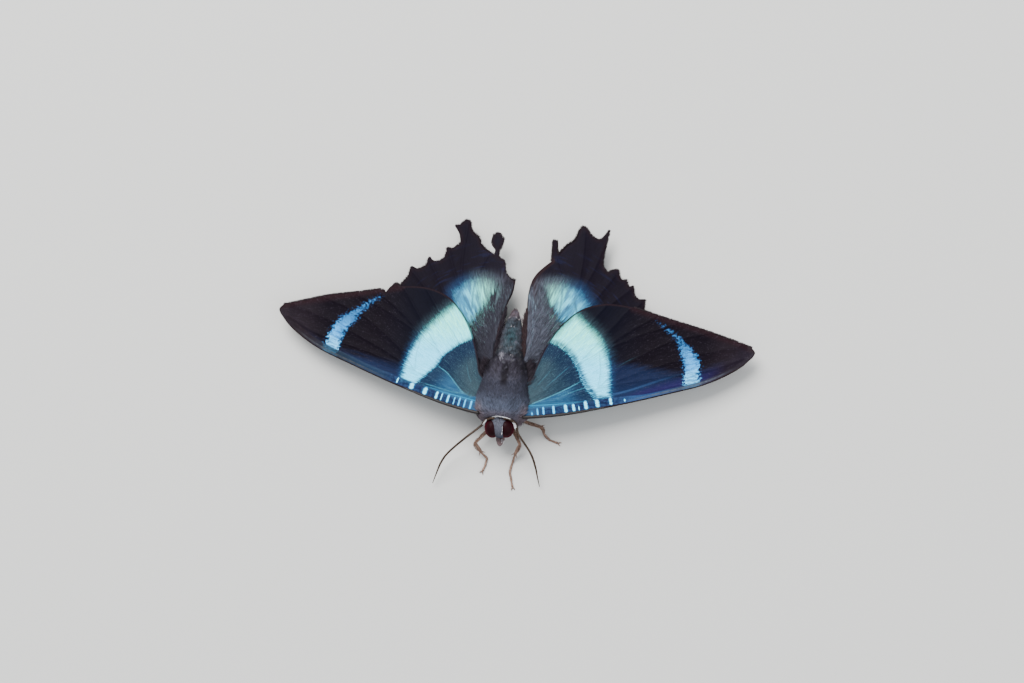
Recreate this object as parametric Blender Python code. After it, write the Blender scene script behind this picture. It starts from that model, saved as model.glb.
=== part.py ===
"""A day-flying uraniid moth at rest, wings spread flat, at life size.

Lengths are millimetres until a mesh is written, which is in metres. The moth faces -Y and
stands on its six feet on the floor, z = 0. Stations along the body are measured from the
back of the head, and a parent empty then shifts the moth so that its box is centred.
"""

import math

import bmesh
import bpy
from mathutils import Matrix, Vector
from mathutils.geometry import delaunay_2d_cdt

MM = 0.001

# Driving sizes of the whole animal
JOINT_GAP = 0.3

# Wings: a plate with each main vein raised in its own surface
WING_THICKNESS = 0.5
VEIN_HEIGHT = 0.2
VEIN_HALF_WIDTH = 0.5
EDGE_STEP = 1.7
VEIN_STEP = 1.9
FIELD_STEP = 2.9
FORE_ROOT = (5.0, 3.0, 7.2)
FORE_DROOP = 0.084
FORE_CAMBER = 0.0011
HIND_ROOT = (4.0, 9.0, 6.0)
HIND_DROOP = (0.052, 0.080)

# Forewing outline, as on the moth's left; smooth between the points of each run
FORE_COSTA = [(2.6, 0.9), (5.4, 1.1), (12.4, 2.4), (21.0, 4.8), (30.0, 7.9), (37.5, 10.8), (43.0, 14.2), (45.6, 16.8)]
FORE_APEX = [(45.6, 16.8), (46.0, 17.8), (45.3, 18.7)]
FORE_TERMEN = [(45.3, 18.7), (42.5, 19.5), (36.5, 21.0), (30.6, 22.2), (26.5, 23.1), (22.6, 24.0)]
FORE_TERMEN_TORN = [
    [(45.3, 18.7), (42.5, 19.5), (36.5, 21.2), (30.6, 22.3), (26.4, 23.1), (25.3, 22.3)],
    [(25.3, 22.3), (24.7, 23.4), (23.5, 24.5), (22.6, 24.0)],
]
FORE_INNER = [
    (22.6, 24.0), (18.5, 24.2), (15.2, 23.6), (12.6, 22.4), (10.4, 20.4), (8.4, 17.7), (6.8, 14.4), (5.6, 10.9),
    (4.8, 8.2), (3.0, 6.8),
]

# Hindwing: the hidden front edge, then the toothed and tailed margin of each side
HIND_COSTA = [(2.2, 7.4), (6.5, 8.4), (12.5, 11.0), (19.0, 15.6), (23.0, 20.2), (24.2, 23.4)]
HIND_MARGIN_LEFT = [
    [(24.2, 23.4), (24.3, 26.2)],
    [(24.3, 26.2), (23.0, 26.1), (22.2, 26.7)],
    [(22.2, 26.7), (21.7, 28.7)],
    [(21.7, 28.7), (20.9, 28.4), (20.4, 29.7)],
    [(20.4, 29.7), (19.2, 29.8), (18.6, 31.6)],
    [(18.6, 31.6), (17.5, 31.4), (16.6, 30.8)],
    [(16.6, 30.8), (15.5, 32.2), (15.6, 35.4), (16.0, 39.4)],
    [(16.0, 39.4), (15.2, 38.0), (14.2, 37.2), (12.8, 37.9), (11.6, 39.3)],
    [(11.6, 39.3), (10.8, 39.6), (10.2, 38.6)],
    [(10.2, 38.6), (9.6, 36.8), (8.2, 35.5), (6.8, 33.6)],
]
HIND_TAIL_LEFT = [[(6.8, 33.6), (6.5, 35.0), (6.3, 36.2)], [(6.3, 36.2), (5.5, 36.2)], [(5.5, 36.2), (5.6, 34.4), (5.7, 32.0)]]
HIND_ANAL_LEFT = [(5.7, 32.0), (4.2, 30.4), (2.9, 28.6), (2.2, 26.2), (2.1, 23.4), (2.4, 20.6), (2.6, 16.6), (2.9, 13.0), (2.2, 10.0)]
HIND_MARGIN_RIGHT = [
    [(24.2, 23.4), (22.6, 25.2)],
    [(22.6, 25.2), (21.7, 26.8), (21.3, 28.6)],
    [(21.3, 28.6), (19.9, 28.2), (18.5, 29.1)],
    [(18.5, 29.1), (18.1, 30.7), (17.2, 30.0), (15.8, 30.2)],
    [(15.8, 30.2), (15.0, 31.2), (14.9, 32.9)],
    [(14.9, 32.9), (13.6, 33.0), (12.3, 34.2)],
    [(12.3, 34.2), (12.8, 36.0), (13.9, 37.6)],
    [(13.9, 37.6), (12.9, 37.9), (11.9, 38.9), (11.0, 38.6)],
    [(11.0, 38.6), (10.5, 36.8), (9.0, 35.6), (8.2, 34.0)],
    [(8.2, 34.0), (7.0, 33.0), (5.4, 32.2)],
]
HIND_TAIL_RIGHT = [
    [(5.4, 32.2), (5.3, 33.2)],
    [(5.3, 33.2), (6.3, 34.6), (6.2, 36.2)],
    [(6.2, 36.2), (5.2, 36.7), (4.0, 35.6)],
    [(4.0, 35.6), (4.3, 34.0), (4.7, 33.2)],
    [(4.7, 33.2), (4.7, 32.0)],
]
HIND_ANAL_RIGHT = [(4.7, 32.0), (3.3, 30.9), (2.9, 29.0), (1.9, 27.8), (0.7, 27.4)]
HIND_INNER_RIGHT = [(0.7, 27.4), (0.9, 25.0), (1.7, 22.4), (2.3, 19.4), (2.6, 16.4), (2.9, 13.0), (2.2, 10.0)]

# Main veins, root to margin
FORE_VEINS = [
    [(4.0, 2.4), (9.0, 2.8), (18.0, 5.0), (27.0, 8.0), (34.0, 10.6)],
    [(4.0, 3.0), (10.0, 4.6), (17.5, 7.6), (27.0, 10.6), (38.0, 13.6), (44.6, 16.9)],
    [(17.5, 7.6), (24.0, 11.2), (34.0, 15.6), (43.2, 18.8)],
    [(17.5, 7.6), (21.5, 12.2), (29.5, 17.8), (36.8, 20.5)],
    [(4.0, 3.6), (8.0, 6.4), (13.0, 11.4), (17.0, 14.6)],
    [(17.5, 7.6), (17.6, 11.0), (17.0, 14.6)],
    [(17.0, 14.6), (24.0, 18.6), (30.8, 21.7)],
    [(17.0, 14.6), (21.6, 18.8), (26.6, 22.4)],
    [(13.0, 11.4), (17.2, 17.2), (21.6, 23.4)],
    [(4.0, 4.4), (6.4, 8.0), (10.2, 14.4), (14.2, 19.4), (17.2, 23.6)],
]
HIND_VEINS_INNER = [
    [(3.4, 8.4), (8.0, 10.4), (15.0, 15.0), (20.6, 20.4), (23.6, 25.4)],
    [(3.4, 9.0), (6.4, 12.8), (11.6, 18.4), (17.0, 23.6), (21.3, 27.8)],
    [(11.6, 18.4), (14.6, 24.4), (18.0, 30.2)],
    [(3.4, 9.6), (5.0, 14.2), (8.4, 20.6), (11.0, 24.4)],
    [(11.6, 18.4), (11.8, 21.6), (11.0, 24.4)],
    [(8.4, 20.6), (8.4, 27.0), (6.6, 32.2)],
    [(3.2, 10.4), (3.6, 15.0), (4.0, 21.0), (3.4, 26.0), (2.6, 27.6)],
]
HIND_VEIN_ENDS_LEFT = [
    [(11.0, 24.4), (14.0, 30.6), (15.8, 38.2)],
    [(11.0, 24.4), (11.6, 31.6), (11.2, 38.8)],
]
HIND_VEIN_ENDS_RIGHT = [
    [(11.0, 24.4), (12.8, 28.8), (14.8, 31.8)],
    [(11.0, 24.4), (11.4, 31.6), (12.6, 37.4)],
]

# Head and eyes in the head's own place, which is turned a little to the moth's left
HEAD_PLACE = (-0.22, -1.5, 0.0)
HEAD_TURN = math.radians(6.0)
EYE_CENTRE = (1.33, 0.0, 5.25)
EYE_SIZE = (1.47, 1.85, 1.85)

# Body rings: station, half width, height above the axis, depth below it, axis height
HEAD_RINGS = [
    (-1.85, 0.35, 0.6, 0.6, 4.9),
    (-1.65, 0.6, 1.05, 1.1, 5.0),
    (-1.2, 0.75, 1.55, 1.5, 5.1),
    (-0.5, 0.88, 1.85, 1.75, 5.2),
    (0.3, 1.0, 1.9, 1.8, 5.2),
    (1.0, 1.1, 1.7, 1.7, 5.2),
    (1.6, 1.15, 1.3, 1.4, 5.25),
    (1.95, 1.1, 1.1, 1.2, 5.3),
]
COLLAR_RINGS = [
    (-1.1, 2.9, 0.9, 1.4, 4.9),
    (-0.7, 3.35, 1.05, 1.7, 5.05),
    (-0.2, 3.95, 1.3, 2.1, 5.2),
    (0.1, 4.3, 1.75, 2.3, 5.3),
    (0.35, 4.55, 2.4, 2.45, 5.4),
    (0.65, 4.8, 2.85, 2.6, 5.5),
    (0.95, 4.95, 3.05, 2.7, 5.55),
]
THORAX_RINGS = [
    (1.25, 5.1, 3.2, 2.8, 5.6),
    (1.8, 5.3, 3.4, 3.1, 5.7),
    (3.2, 5.4, 3.6, 3.4, 5.8),
    (5.2, 5.15, 3.5, 3.4, 5.8),
    (7.2, 4.7, 3.2, 3.1, 5.7),
    (9.0, 4.1, 2.8, 2.6, 5.5),
    (10.3, 3.3, 2.3, 2.2, 5.4),
]
TRUNK_SQUARE = 2.6
ABDOMEN_START = 10.6
ABDOMEN_END = 21.6
ABDOMEN_SEGMENTS = 8
ABDOMEN_RADIUS = 2.5
BODY_SIDES = 28

# Feelers and palps: points and radii along the centreline
FEELER_LEFT = [
    (0.75, 0.1, 7.15), (1.5, 0.05, 7.1), (2.3, -0.2, 6.65), (2.9, -0.65, 6.0), (3.15, -1.3, 5.3), (3.4, -2.1, 5.0),
    (4.1, -3.1, 4.8), (6.0, -5.4, 3.7), (7.0, -7.5, 2.3), (7.6, -9.5, 1.4), (8.15, -11.2, 0.9),
]
FEELER_RIGHT = [
    (-1.0, -0.05, 7.15), (-1.75, -0.15, 7.1), (-2.65, -0.45, 6.65), (-3.2, -0.8, 6.0), (-3.6, -1.35, 5.4),
    (-4.6, -2.3, 5.2), (-6.7, -4.2, 4.9), (-9.6, -6.9, 3.5), (-10.9, -8.8, 2.5), (-11.7, -11.0, 1.6),
    (-12.2, -12.6, 1.1),
]
FEELER_RADII = [0.28, 0.26, 0.26, 0.26, 0.26, 0.26, 0.25, 0.2, 0.1]
PALP_PATH = [(0.52, -0.6, 3.75), (0.55, -1.1, 3.3), (0.53, -1.8, 3.3), (0.46, -2.5, 3.7), (0.31, -3.0, 4.15)]
PALP_RADII = [0.37, 0.39, 0.37, 0.3, 0.14]

# Legs: hip inside the body, trochanter, knee, ankle, then along the foot to its claws
LEG_RADII = {"hip": 0.75, "trochanter": 0.5, "femur": 0.42, "knee": 0.33, "tibia": 0.36, "ankle": 0.28, "foot": 0.27}
LEG_SIDES = 8
SOLE_Z = 0.22
FORE_LEG_LEFT = [(1.3, 0.6, 4.2), (1.4, -0.1, 2.45), (3.7, -3.85, 2.9), (2.85, -5.6, 1.4), (2.4, -7.0, SOLE_Z), (2.1, -8.8, SOLE_Z), (2.6, -10.6, SOLE_Z), (2.95, -11.7, SOLE_Z)]
FORE_LEG_RIGHT = [(-1.3, 0.6, 4.2), (-1.4, -0.1, 2.45), (-4.75, -4.4, 2.9), (-3.7, -5.8, 1.4), (-2.6, -6.7, SOLE_Z), (-2.75, -8.2, SOLE_Z), (-3.15, -9.2, SOLE_Z)]
MID_LEG_LEFT = [(1.7, 3.6, 4.0), (1.9, 3.2, 2.2), (3.8, 0.7, 3.1), (7.45, -0.15, 2.5), (7.85, -1.1, 1.1), (8.9, -2.0, SOLE_Z), (10.6, -2.45, SOLE_Z)]
MID_LEG_RIGHT = [(-1.7, 4.6, 4.0), (-1.9, 4.2, 2.1), (-5.8, 3.0, 3.1), (-9.2, 4.8, 1.4), (-10.2, 5.5, SOLE_Z), (-11.4, 6.0, SOLE_Z), (-12.8, 6.9, SOLE_Z)]
HIND_LEG_LEFT = [(1.53, 7.71, 4.07), (1.72, 8.13, 2.17), (6.4, 11.2, 3.0), (8.5, 16.8, 1.4), (9.0, 18.3, SOLE_Z), (9.6, 20.6, SOLE_Z), (9.9, 22.6, SOLE_Z)]
SPUR_LENGTH = 1.1
CLAW_LENGTH = 0.7

COLOURS = {
    "wing_brown": ((0.020, 0.014, 0.022), 0.55),
    "body_fur": ((0.085, 0.075, 0.082), 0.8),
    "abdomen_scales": ((0.060, 0.085, 0.085), 0.6),
    "eye": ((0.035, 0.005, 0.009), 0.15),
    "feeler": ((0.045, 0.026, 0.018), 0.6),
    "leg": ((0.25, 0.115, 0.075), 0.6),
}


def clear_scene():
    for old in list(bpy.data.objects):
        bpy.data.objects.remove(old)


def material(name):
    made = bpy.data.materials.get(name)
    if made:
        return made
    colour, roughness = COLOURS[name]
    made = bpy.data.materials.new(name)
    made.use_nodes = True
    shader = made.node_tree.nodes["Principled BSDF"]
    shader.inputs["Base Color"].default_value = (*colour, 1.0)
    shader.inputs["Roughness"].default_value = roughness
    return made


def add_object(name, bm, parent=None):
    """Writes a bmesh in millimetres as an object in metres."""
    bmesh.ops.recalc_face_normals(bm, faces=bm.faces)
    mesh = bpy.data.meshes.new(name)
    bm.to_mesh(mesh)
    bm.free()
    mesh.transform(Matrix.Scale(MM, 4))
    made = bpy.data.objects.new(name, mesh)
    made.parent = parent
    bpy.context.scene.collection.objects.link(made)
    return made


def smooth_run(points, step):
    """Points spaced about step apart on a Catmull-Rom curve through the given ones."""
    given = [Vector(p) for p in points]
    if len(given) == 2:
        ends = [given[0], given[1]]
        count = max(1, round((given[1] - given[0]).length / step))
        return [ends[0].lerp(ends[1], k / count) for k in range(count + 1)]
    held = [2 * given[0] - given[1], *given, 2 * given[-1] - given[-2]]
    run = []
    for a, b, c, d in zip(held, held[1:], held[2:], held[3:]):
        count = max(1, round((c - b).length / step))
        for k in range(count):
            t = k / count
            run.append(
                0.5 * (2 * b + (c - a) * t + (2 * a - 5 * b + 4 * c - d) * t**2 + (3 * b - a - 3 * c + d) * t**3)
            )
    return run + [given[-1]]


def closed_outline(runs, step):
    """Joins runs that meet end to end into one closed loop of points."""
    loop = []
    for run in runs:
        loop += smooth_run(run, step)[:-1]
    return loop


def forewing_height(x, y):
    """The forewing's middle surface: it droops to the tip and arches along the chord."""
    out = x - FORE_ROOT[0]
    chord = y - FORE_ROOT[1] - 0.45 * out
    return FORE_ROOT[2] - FORE_DROOP * out - FORE_CAMBER * chord * chord


def hindwing_height(x, y):
    """The hindwing's middle surface: it slopes outward and back, below the forewing."""
    return HIND_ROOT[2] - HIND_DROOP[0] * (x - HIND_ROOT[0]) - HIND_DROOP[1] * (y - HIND_ROOT[1])


def near_segment(point, a, b):
    """Distance from a point to the straight stretch from a to b."""
    along = b - a
    share = max(0.0, min(1.0, (point - a).dot(along) / along.length_squared))
    return (point - a - along * share).length


def inside(point, loop):
    """True where a point lies within a closed loop."""
    crossings = 0
    for a, b in zip(loop, loop[1:] + loop[:1]):
        if (a.y > point.y) != (b.y > point.y):
            at = a.x + (point.y - a.y) / (b.y - a.y) * (b.x - a.x)
            crossings += point.x < at
    return crossings % 2 == 1


def wing_plan(loop, veins):
    """Flat points and triangles that follow the outline and every vein."""
    points, edges = list(loop), [(k, (k + 1) % len(loop)) for k in range(len(loop))]
    crests = []
    for vein in veins:
        run = smooth_run(vein, VEIN_STEP)
        places = []
        for p in run:
            near = [k for k in range(len(points)) if (points[k] - p).length < 0.45]
            if near:
                places.append(min(near, key=lambda k: (points[k] - p).length))
            elif inside(p, loop):
                points.append(p)
                places.append(len(points) - 1)
        edges += [(a, b) for a, b in zip(places, places[1:]) if a != b]
        crests += list(zip(run, run[1:]))

    def room(p, kept, gap):
        return all((q - p).length > gap for q in kept)

    feet = []
    for a, b in crests:
        side = Vector((a.y - b.y, b.x - a.x)).normalized() * VEIN_HALF_WIDTH
        for p in ((a + b) / 2 + side, (a + b) / 2 - side):
            clear = all(near_segment(p, c, d) > 0.8 * VEIN_HALF_WIDTH for c, d in crests)
            if clear and inside(p, loop) and room(p, points + feet, 0.42):
                feet.append(p)
    field = []
    low = Vector((min(p.x for p in loop), min(p.y for p in loop)))
    high = Vector((max(p.x for p in loop), max(p.y for p in loop)))
    rows = int((high.y - low.y) / FIELD_STEP) + 1
    columns = int((high.x - low.x) / FIELD_STEP) + 1
    for row in range(rows):
        for column in range(columns):
            p = low + Vector((column + 0.5 * (row % 2), row + 0.4)) * FIELD_STEP
            if inside(p, loop) and room(p, points + feet, 0.55 * FIELD_STEP):
                field.append(p)
    flat, _, faces, *_ = delaunay_2d_cdt(points + feet + field, edges, [], 1, 1e-4, False)
    kept = [face for face in faces if inside(sum((flat[k] for k in face), Vector((0, 0))) / 3, loop)]
    return flat, kept, crests


def vein_rise(p, crests):
    """How far the surface stands up at a point because of the vein beside it."""
    nearest = min(near_segment(p, a, b) for a, b in crests)
    return VEIN_HEIGHT * max(0.0, 1.0 - nearest / VEIN_HALF_WIDTH)


def wing(name, runs, veins, height, side):
    """A closed plate, alike on both faces; side is 1 for the moth's left and -1 for its right."""
    flat, faces, crests = wing_plan(closed_outline(runs, EDGE_STEP), veins)
    bm = bmesh.new()
    rows = []
    for sign in (1, -1):
        row = []
        for p in flat:
            off = sign * (WING_THICKNESS / 2 + vein_rise(p, crests))
            row.append(bm.verts.new((side * p.x, p.y, height(p.x, p.y) + off)))
        rows.append(row)
    used = {}
    for face in faces:
        bm.faces.new([rows[0][k] for k in face])
        bm.faces.new([rows[1][k] for k in reversed(face)])
        for a, b in zip(face, [*face[1:], face[0]]):
            used[frozenset((a, b))] = used.get(frozenset((a, b)), []) + [(a, b)]
    for held in used.values():
        if len(held) == 1:
            a, b = held[0]
            bm.faces.new([rows[0][b], rows[0][a], rows[1][a], rows[1][b]])
    loose = [v for v in bm.verts if not v.link_faces]
    bmesh.ops.delete(bm, geom=loose, context="VERTS")
    return add_object(name, bm)


def ring_body(name, rings, grow=0.0, reach=0.0, square=2.0):
    """A body lofted through upright rings; square above 2 fills their corners, and grow and reach
    make a larger copy for a cut."""
    bm = bmesh.new()
    loops = []
    for k, (station, half, up, down, axis) in enumerate(rings):
        y = station + (reach if k == len(rings) - 1 else 0.0) - (reach if k == 0 else 0.0)
        loop = []
        for n in range(BODY_SIDES):
            angle = 2 * math.pi * n / BODY_SIDES
            across = math.copysign(abs(math.cos(angle)) ** (2 / square), math.cos(angle))
            above = math.copysign(abs(math.sin(angle)) ** (2 / square), math.sin(angle))
            tall = up if above > 0 else down
            loop.append(bm.verts.new((across * (half + grow), y, axis + above * (tall + grow))))
        loops.append(loop)
    for front, back in zip(loops, loops[1:]):
        for n in range(BODY_SIDES):
            m = (n + 1) % BODY_SIDES
            bm.faces.new([front[n], front[m], back[m], back[n]])
    bm.faces.new(loops[0])
    bm.faces.new(list(reversed(loops[-1])))
    return add_object(name, bm)


def abdomen_rings():
    """Rings of the abdomen: each segment swells a little and ends in a shallow groove."""
    rings = []
    length = ABDOMEN_END - ABDOMEN_START
    marks = [0.0, 0.35, 0.85]
    for segment in range(ABDOMEN_SEGMENTS):
        for mark in marks:
            share = (segment + mark) / ABDOMEN_SEGMENTS
            taper = math.sqrt(max(0.0, 1.0 - share**2.6))
            swell = (0.94, 1.0, 1.0)[marks.index(mark)]
            half = (ABDOMEN_RADIUS * taper * (1.0 - 0.12 * share) + 0.12) * swell
            axis = 5.35 - 1.0 * share
            rings.append((ABDOMEN_START + share * length, half, half * 0.92, half * 0.9, axis))
    rings.append((ABDOMEN_END, 0.16, 0.15, 0.15, 4.35))
    return rings


def ellipsoid(name, centre, size, side=1, grow=0.0, rings=12, sides=18):
    bm = bmesh.new()
    bmesh.ops.create_uvsphere(bm, u_segments=sides, v_segments=rings, radius=1.0)
    grown = [s + grow for s in size]
    bmesh.ops.scale(bm, vec=grown, verts=bm.verts)
    bmesh.ops.translate(bm, vec=(side * centre[0], centre[1], centre[2]), verts=bm.verts)
    return add_object(name, bm)


def tube(name, path, radii, sides=LEG_SIDES):
    """A closed tube through the path, with its own radius at each point; soles press flat on the floor."""
    points = [Vector(p) for p in path]
    ways = [(b - a).normalized() for a, b in zip(points, points[1:])]
    tangents = [ways[0], *[(a + b).normalized() for a, b in zip(ways, ways[1:])], ways[-1]]
    bm = bmesh.new()
    loops = []
    for point, tangent, radius in zip(points, tangents, radii):
        across = tangent.cross(Vector((0, 0, 1))).normalized()
        other = tangent.cross(across)
        loop = []
        for n in range(sides):
            angle = 2 * math.pi * (n + 0.5) / sides
            at = point + (across * math.cos(angle) + other * math.sin(angle)) * radius
            loop.append(bm.verts.new((at.x, at.y, max(at.z, 0.0))))
        loops.append(loop)
    for front, back in zip(loops, loops[1:]):
        for n in range(sides):
            m = (n + 1) % sides
            bm.faces.new([front[n], front[m], back[m], back[n]])
    bm.faces.new(list(reversed(loops[0])))
    bm.faces.new(loops[-1])
    return add_object(name, bm)


def spike(name, root, tip, radius):
    """A short tapered spur or claw."""
    return tube(name, [root, tip], [radius, radius * 0.35], sides=6)


def boolean(target, operation, tools):
    """Joins or cuts target with closed tools, which are then removed."""
    held = bpy.data.collections.new(target.name + "_tools")
    bpy.context.scene.collection.children.link(held)
    for tool in tools:
        held.objects.link(tool)
    step = target.modifiers.new("join", "BOOLEAN")
    step.operation = operation
    step.operand_type = "COLLECTION"
    step.collection = held
    step.solver = "EXACT"
    graph = bpy.context.evaluated_depsgraph_get()
    result = bpy.data.meshes.new_from_object(target.evaluated_get(graph))
    target.modifiers.clear()
    target.data = result
    for tool in tools:
        bpy.data.objects.remove(tool)
    bpy.data.collections.remove(held)
    return target


def keep_largest(target):
    """Keeps the one closed surface of a node that encloses the most."""
    bm = bmesh.new()
    bm.from_mesh(target.data)
    bmesh.ops.triangulate(bm, faces=bm.faces)
    bmesh.ops.remove_doubles(bm, verts=bm.verts, dist=1e-6)
    left, shells = set(bm.faces), []
    while left:
        shell, edge_of = set(), [left.pop()]
        while edge_of:
            face = edge_of.pop()
            shell.add(face)
            for edge in face.edges:
                for other in edge.link_faces:
                    if other in left:
                        left.remove(other)
                        edge_of.append(other)
        shells.append(shell)

    def volume(shell):
        return abs(sum(f.verts[0].co.dot(f.verts[1].co.cross(f.verts[2].co)) for f in shell))

    biggest = max(shells, key=volume)
    bmesh.ops.delete(bm, geom=[f for f in bm.faces if f not in biggest], context="FACES")
    bm.to_mesh(target.data)
    bm.free()
    return target


def body_cutters(names):
    """Larger copies of the body's parts, which leave the joint gap beside them."""
    made = []
    rings = {
        "collar": (COLLAR_RINGS, TRUNK_SQUARE),
        "thorax": (THORAX_RINGS, TRUNK_SQUARE),
        "abdomen": (abdomen_rings(), 2.0),
    }
    for name in names:
        made.append(ring_body("cut_" + name, rings[name][0], JOINT_GAP, JOINT_GAP, rings[name][1]))
    return made


def leg(name, path):
    """One leg as one closed body: hip, thigh, shin with spurs, and a jointed foot with claws."""
    points = [Vector(p) for p in path]
    hip, trochanter, knee, ankle = points[:4]
    foot = points[4:]
    size = LEG_RADII
    line = [(hip, size["hip"]), (hip.lerp(trochanter, 0.7), size["hip"] * 0.85), (trochanter, size["trochanter"])]
    line += [(trochanter.lerp(knee, s), size["femur"] * w) for s, w in ((0.25, 1.0), (0.6, 1.0), (0.9, 0.8))]
    line += [(knee, size["knee"])]
    line += [(knee.lerp(ankle, s), size["tibia"] * w) for s, w in ((0.15, 0.9), (0.5, 1.0), (0.88, 1.0))]
    line += [(ankle, size["ankle"])]
    previous = ankle
    for joint in foot:
        line += [(previous.lerp(joint, 0.5), size["foot"] * 1.0), (joint, size["foot"] * 0.9)]
        previous = joint
    made = tube(name, [p for p, _ in line], [r for _, r in line])
    shin = (ankle - knee).normalized()
    out = shin.cross(Vector((0, 0, 1))).normalized()
    extras = []
    for k in (-1, 1):
        root = knee.lerp(ankle, 0.86)
        tip = root + shin * SPUR_LENGTH * 0.8 + out * k * SPUR_LENGTH * 0.6
        extras.append(spike(f"{name}_spur", root, tip, 0.2))
    heading = (foot[-1] - foot[-2]).normalized()
    wide = heading.cross(Vector((0, 0, 1)))
    for k in (-1, 1):
        tip = foot[-1] + heading * CLAW_LENGTH + wide * k * CLAW_LENGTH * 0.5
        extras.append(spike(f"{name}_claw", foot[-1] - heading * 0.2, tip, 0.2))
    boolean(made, "UNION", extras)
    for cut in body_cutters(["collar", "thorax", "abdomen"]):
        boolean(made, "DIFFERENCE", [cut])
    return keep_largest(made)


def mirrored(path):
    return [(-x, y, z) for x, y, z in path]


def turn_head(made):
    """Moves a body from the head's own place to the moth's."""
    shift = Vector(HEAD_PLACE) * MM
    made.data.transform(Matrix.Translation(shift) @ Matrix.Rotation(HEAD_TURN, 4, "Z"))
    return made


def head_core(name, grow=0.0):
    return turn_head(ring_body(name, HEAD_RINGS, grow, grow))


def eye_ball(name, side, grow=0.0):
    return turn_head(ellipsoid(name, EYE_CENTRE, EYE_SIZE, side, grow, rings=16, sides=24))


def head_cutters():
    """Larger copies of the head and eyes, one at a time."""
    yield head_core("cut_head", JOINT_GAP)
    for side in (1, -1):
        yield eye_ball("cut_eye", side, JOINT_GAP)


def feeler_rod(name, side, grow=0.0):
    """One feeler as a tube, from its socket behind the eye to its fine tip."""
    points = smooth_run(FEELER_LEFT if side == 1 else FEELER_RIGHT, 1.2)
    radii = [feeler_radius(k / (len(points) - 1)) + grow for k in range(len(points))]
    return tube(name, points, radii)


def build_head():
    """The head between the eyes, with the eyes, palps and feelers as their own nodes."""
    made = {"head": (head_core("head"), "body_fur")}
    for side, word in ((1, "left"), (-1, "right")):
        eye = eye_ball(f"eye_{word}", side)
        boolean(eye, "DIFFERENCE", [head_core("cut_head", JOINT_GAP)])
        made[f"eye_{word}"] = (keep_largest(eye), "eye")
        path = PALP_PATH if side == 1 else mirrored(PALP_PATH)
        palp = turn_head(tube(f"palp_{word}", path, PALP_RADII))
        for cut in head_cutters():
            boolean(palp, "DIFFERENCE", [cut])
        made[f"palp_{word}"] = (keep_largest(palp), "leg")
        feeler = feeler_rod(f"feeler_{word}", side)
        for cut in head_cutters():
            boolean(feeler, "DIFFERENCE", [cut])
        made[f"feeler_{word}"] = (keep_largest(feeler), "feeler")
    return made


def build_collar():
    """The front of the trunk, hollowed for the head, the eyes and the feelers that lie in it."""
    collar = ring_body("collar", COLLAR_RINGS, square=TRUNK_SQUARE)
    for cut in head_cutters():
        boolean(collar, "DIFFERENCE", [cut])
    for side in (1, -1):
        boolean(collar, "DIFFERENCE", [feeler_rod("cut_feeler", side, JOINT_GAP)])
    return keep_largest(collar)


def feeler_radius(share):
    """A feeler is thick at the root, even along its length and fine at the tip."""
    place = share * (len(FEELER_RADII) - 1)
    low = min(int(place), len(FEELER_RADII) - 2)
    return FEELER_RADII[low] + (FEELER_RADII[low + 1] - FEELER_RADII[low]) * (place - low)


def build_trunk():
    made = {"collar": build_collar(), "thorax": ring_body("thorax", THORAX_RINGS, square=TRUNK_SQUARE)}
    made["abdomen"] = ring_body("abdomen", abdomen_rings())
    return {name: (part, "abdomen_scales" if name == "abdomen" else "body_fur") for name, part in made.items()}


def build_legs():
    paths = {
        "foreleg_left": FORE_LEG_LEFT,
        "foreleg_right": FORE_LEG_RIGHT,
        "midleg_left": MID_LEG_LEFT,
        "midleg_right": MID_LEG_RIGHT,
        "hindleg_left": HIND_LEG_LEFT,
        "hindleg_right": mirrored(HIND_LEG_LEFT),
    }
    return {name: (leg(name, path), "leg") for name, path in paths.items()}


def build_wings():
    made = {}
    fore = {
        "left": [FORE_COSTA, FORE_APEX, FORE_TERMEN, FORE_INNER, [FORE_INNER[-1], FORE_COSTA[0]]],
        "right": [FORE_COSTA, FORE_APEX, *FORE_TERMEN_TORN, FORE_INNER, [FORE_INNER[-1], FORE_COSTA[0]]],
    }
    hind = {
        "left": [HIND_COSTA, *HIND_MARGIN_LEFT, *HIND_TAIL_LEFT, HIND_ANAL_LEFT, [HIND_ANAL_LEFT[-1], HIND_COSTA[0]]],
        "right": [
            HIND_COSTA, *HIND_MARGIN_RIGHT, *HIND_TAIL_RIGHT, HIND_ANAL_RIGHT, HIND_INNER_RIGHT,
            [HIND_INNER_RIGHT[-1], HIND_COSTA[0]],
        ],
    }
    veins = {"left": HIND_VEINS_INNER + HIND_VEIN_ENDS_LEFT, "right": HIND_VEINS_INNER + HIND_VEIN_ENDS_RIGHT}
    for word, side in (("left", 1), ("right", -1)):
        front = wing(f"forewing_{word}", fore[word], FORE_VEINS, forewing_height, side)
        back = wing(f"hindwing_{word}", hind[word], veins[word], hindwing_height, side)
        for plate in (front, back):
            for cut in body_cutters(["collar", "thorax", "abdomen"]):
                boolean(plate, "DIFFERENCE", [cut])
        made[front.name] = (keep_largest(front), "wing_brown")
        made[back.name] = (keep_largest(back), "wing_brown")
    return made


def main():
    clear_scene()
    parts = {**build_trunk(), **build_head(), **build_legs(), **build_wings()}
    stations = [v.co.y for part, _ in parts.values() for v in part.data.vertices]
    moth = bpy.data.objects.new("moth", None)
    moth.location = (0.0, -(min(stations) + max(stations)) / 2, 0.0)
    bpy.context.scene.collection.objects.link(moth)
    for name, (part, finish) in parts.items():
        part.parent = moth
        part.data.materials.clear()
        part.data.materials.append(material(finish))
        if "wing" not in name:
            part.data.shade_smooth()


main()
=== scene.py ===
import math

import bpy
import numpy as np
from mathutils import Matrix, Vector


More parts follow.
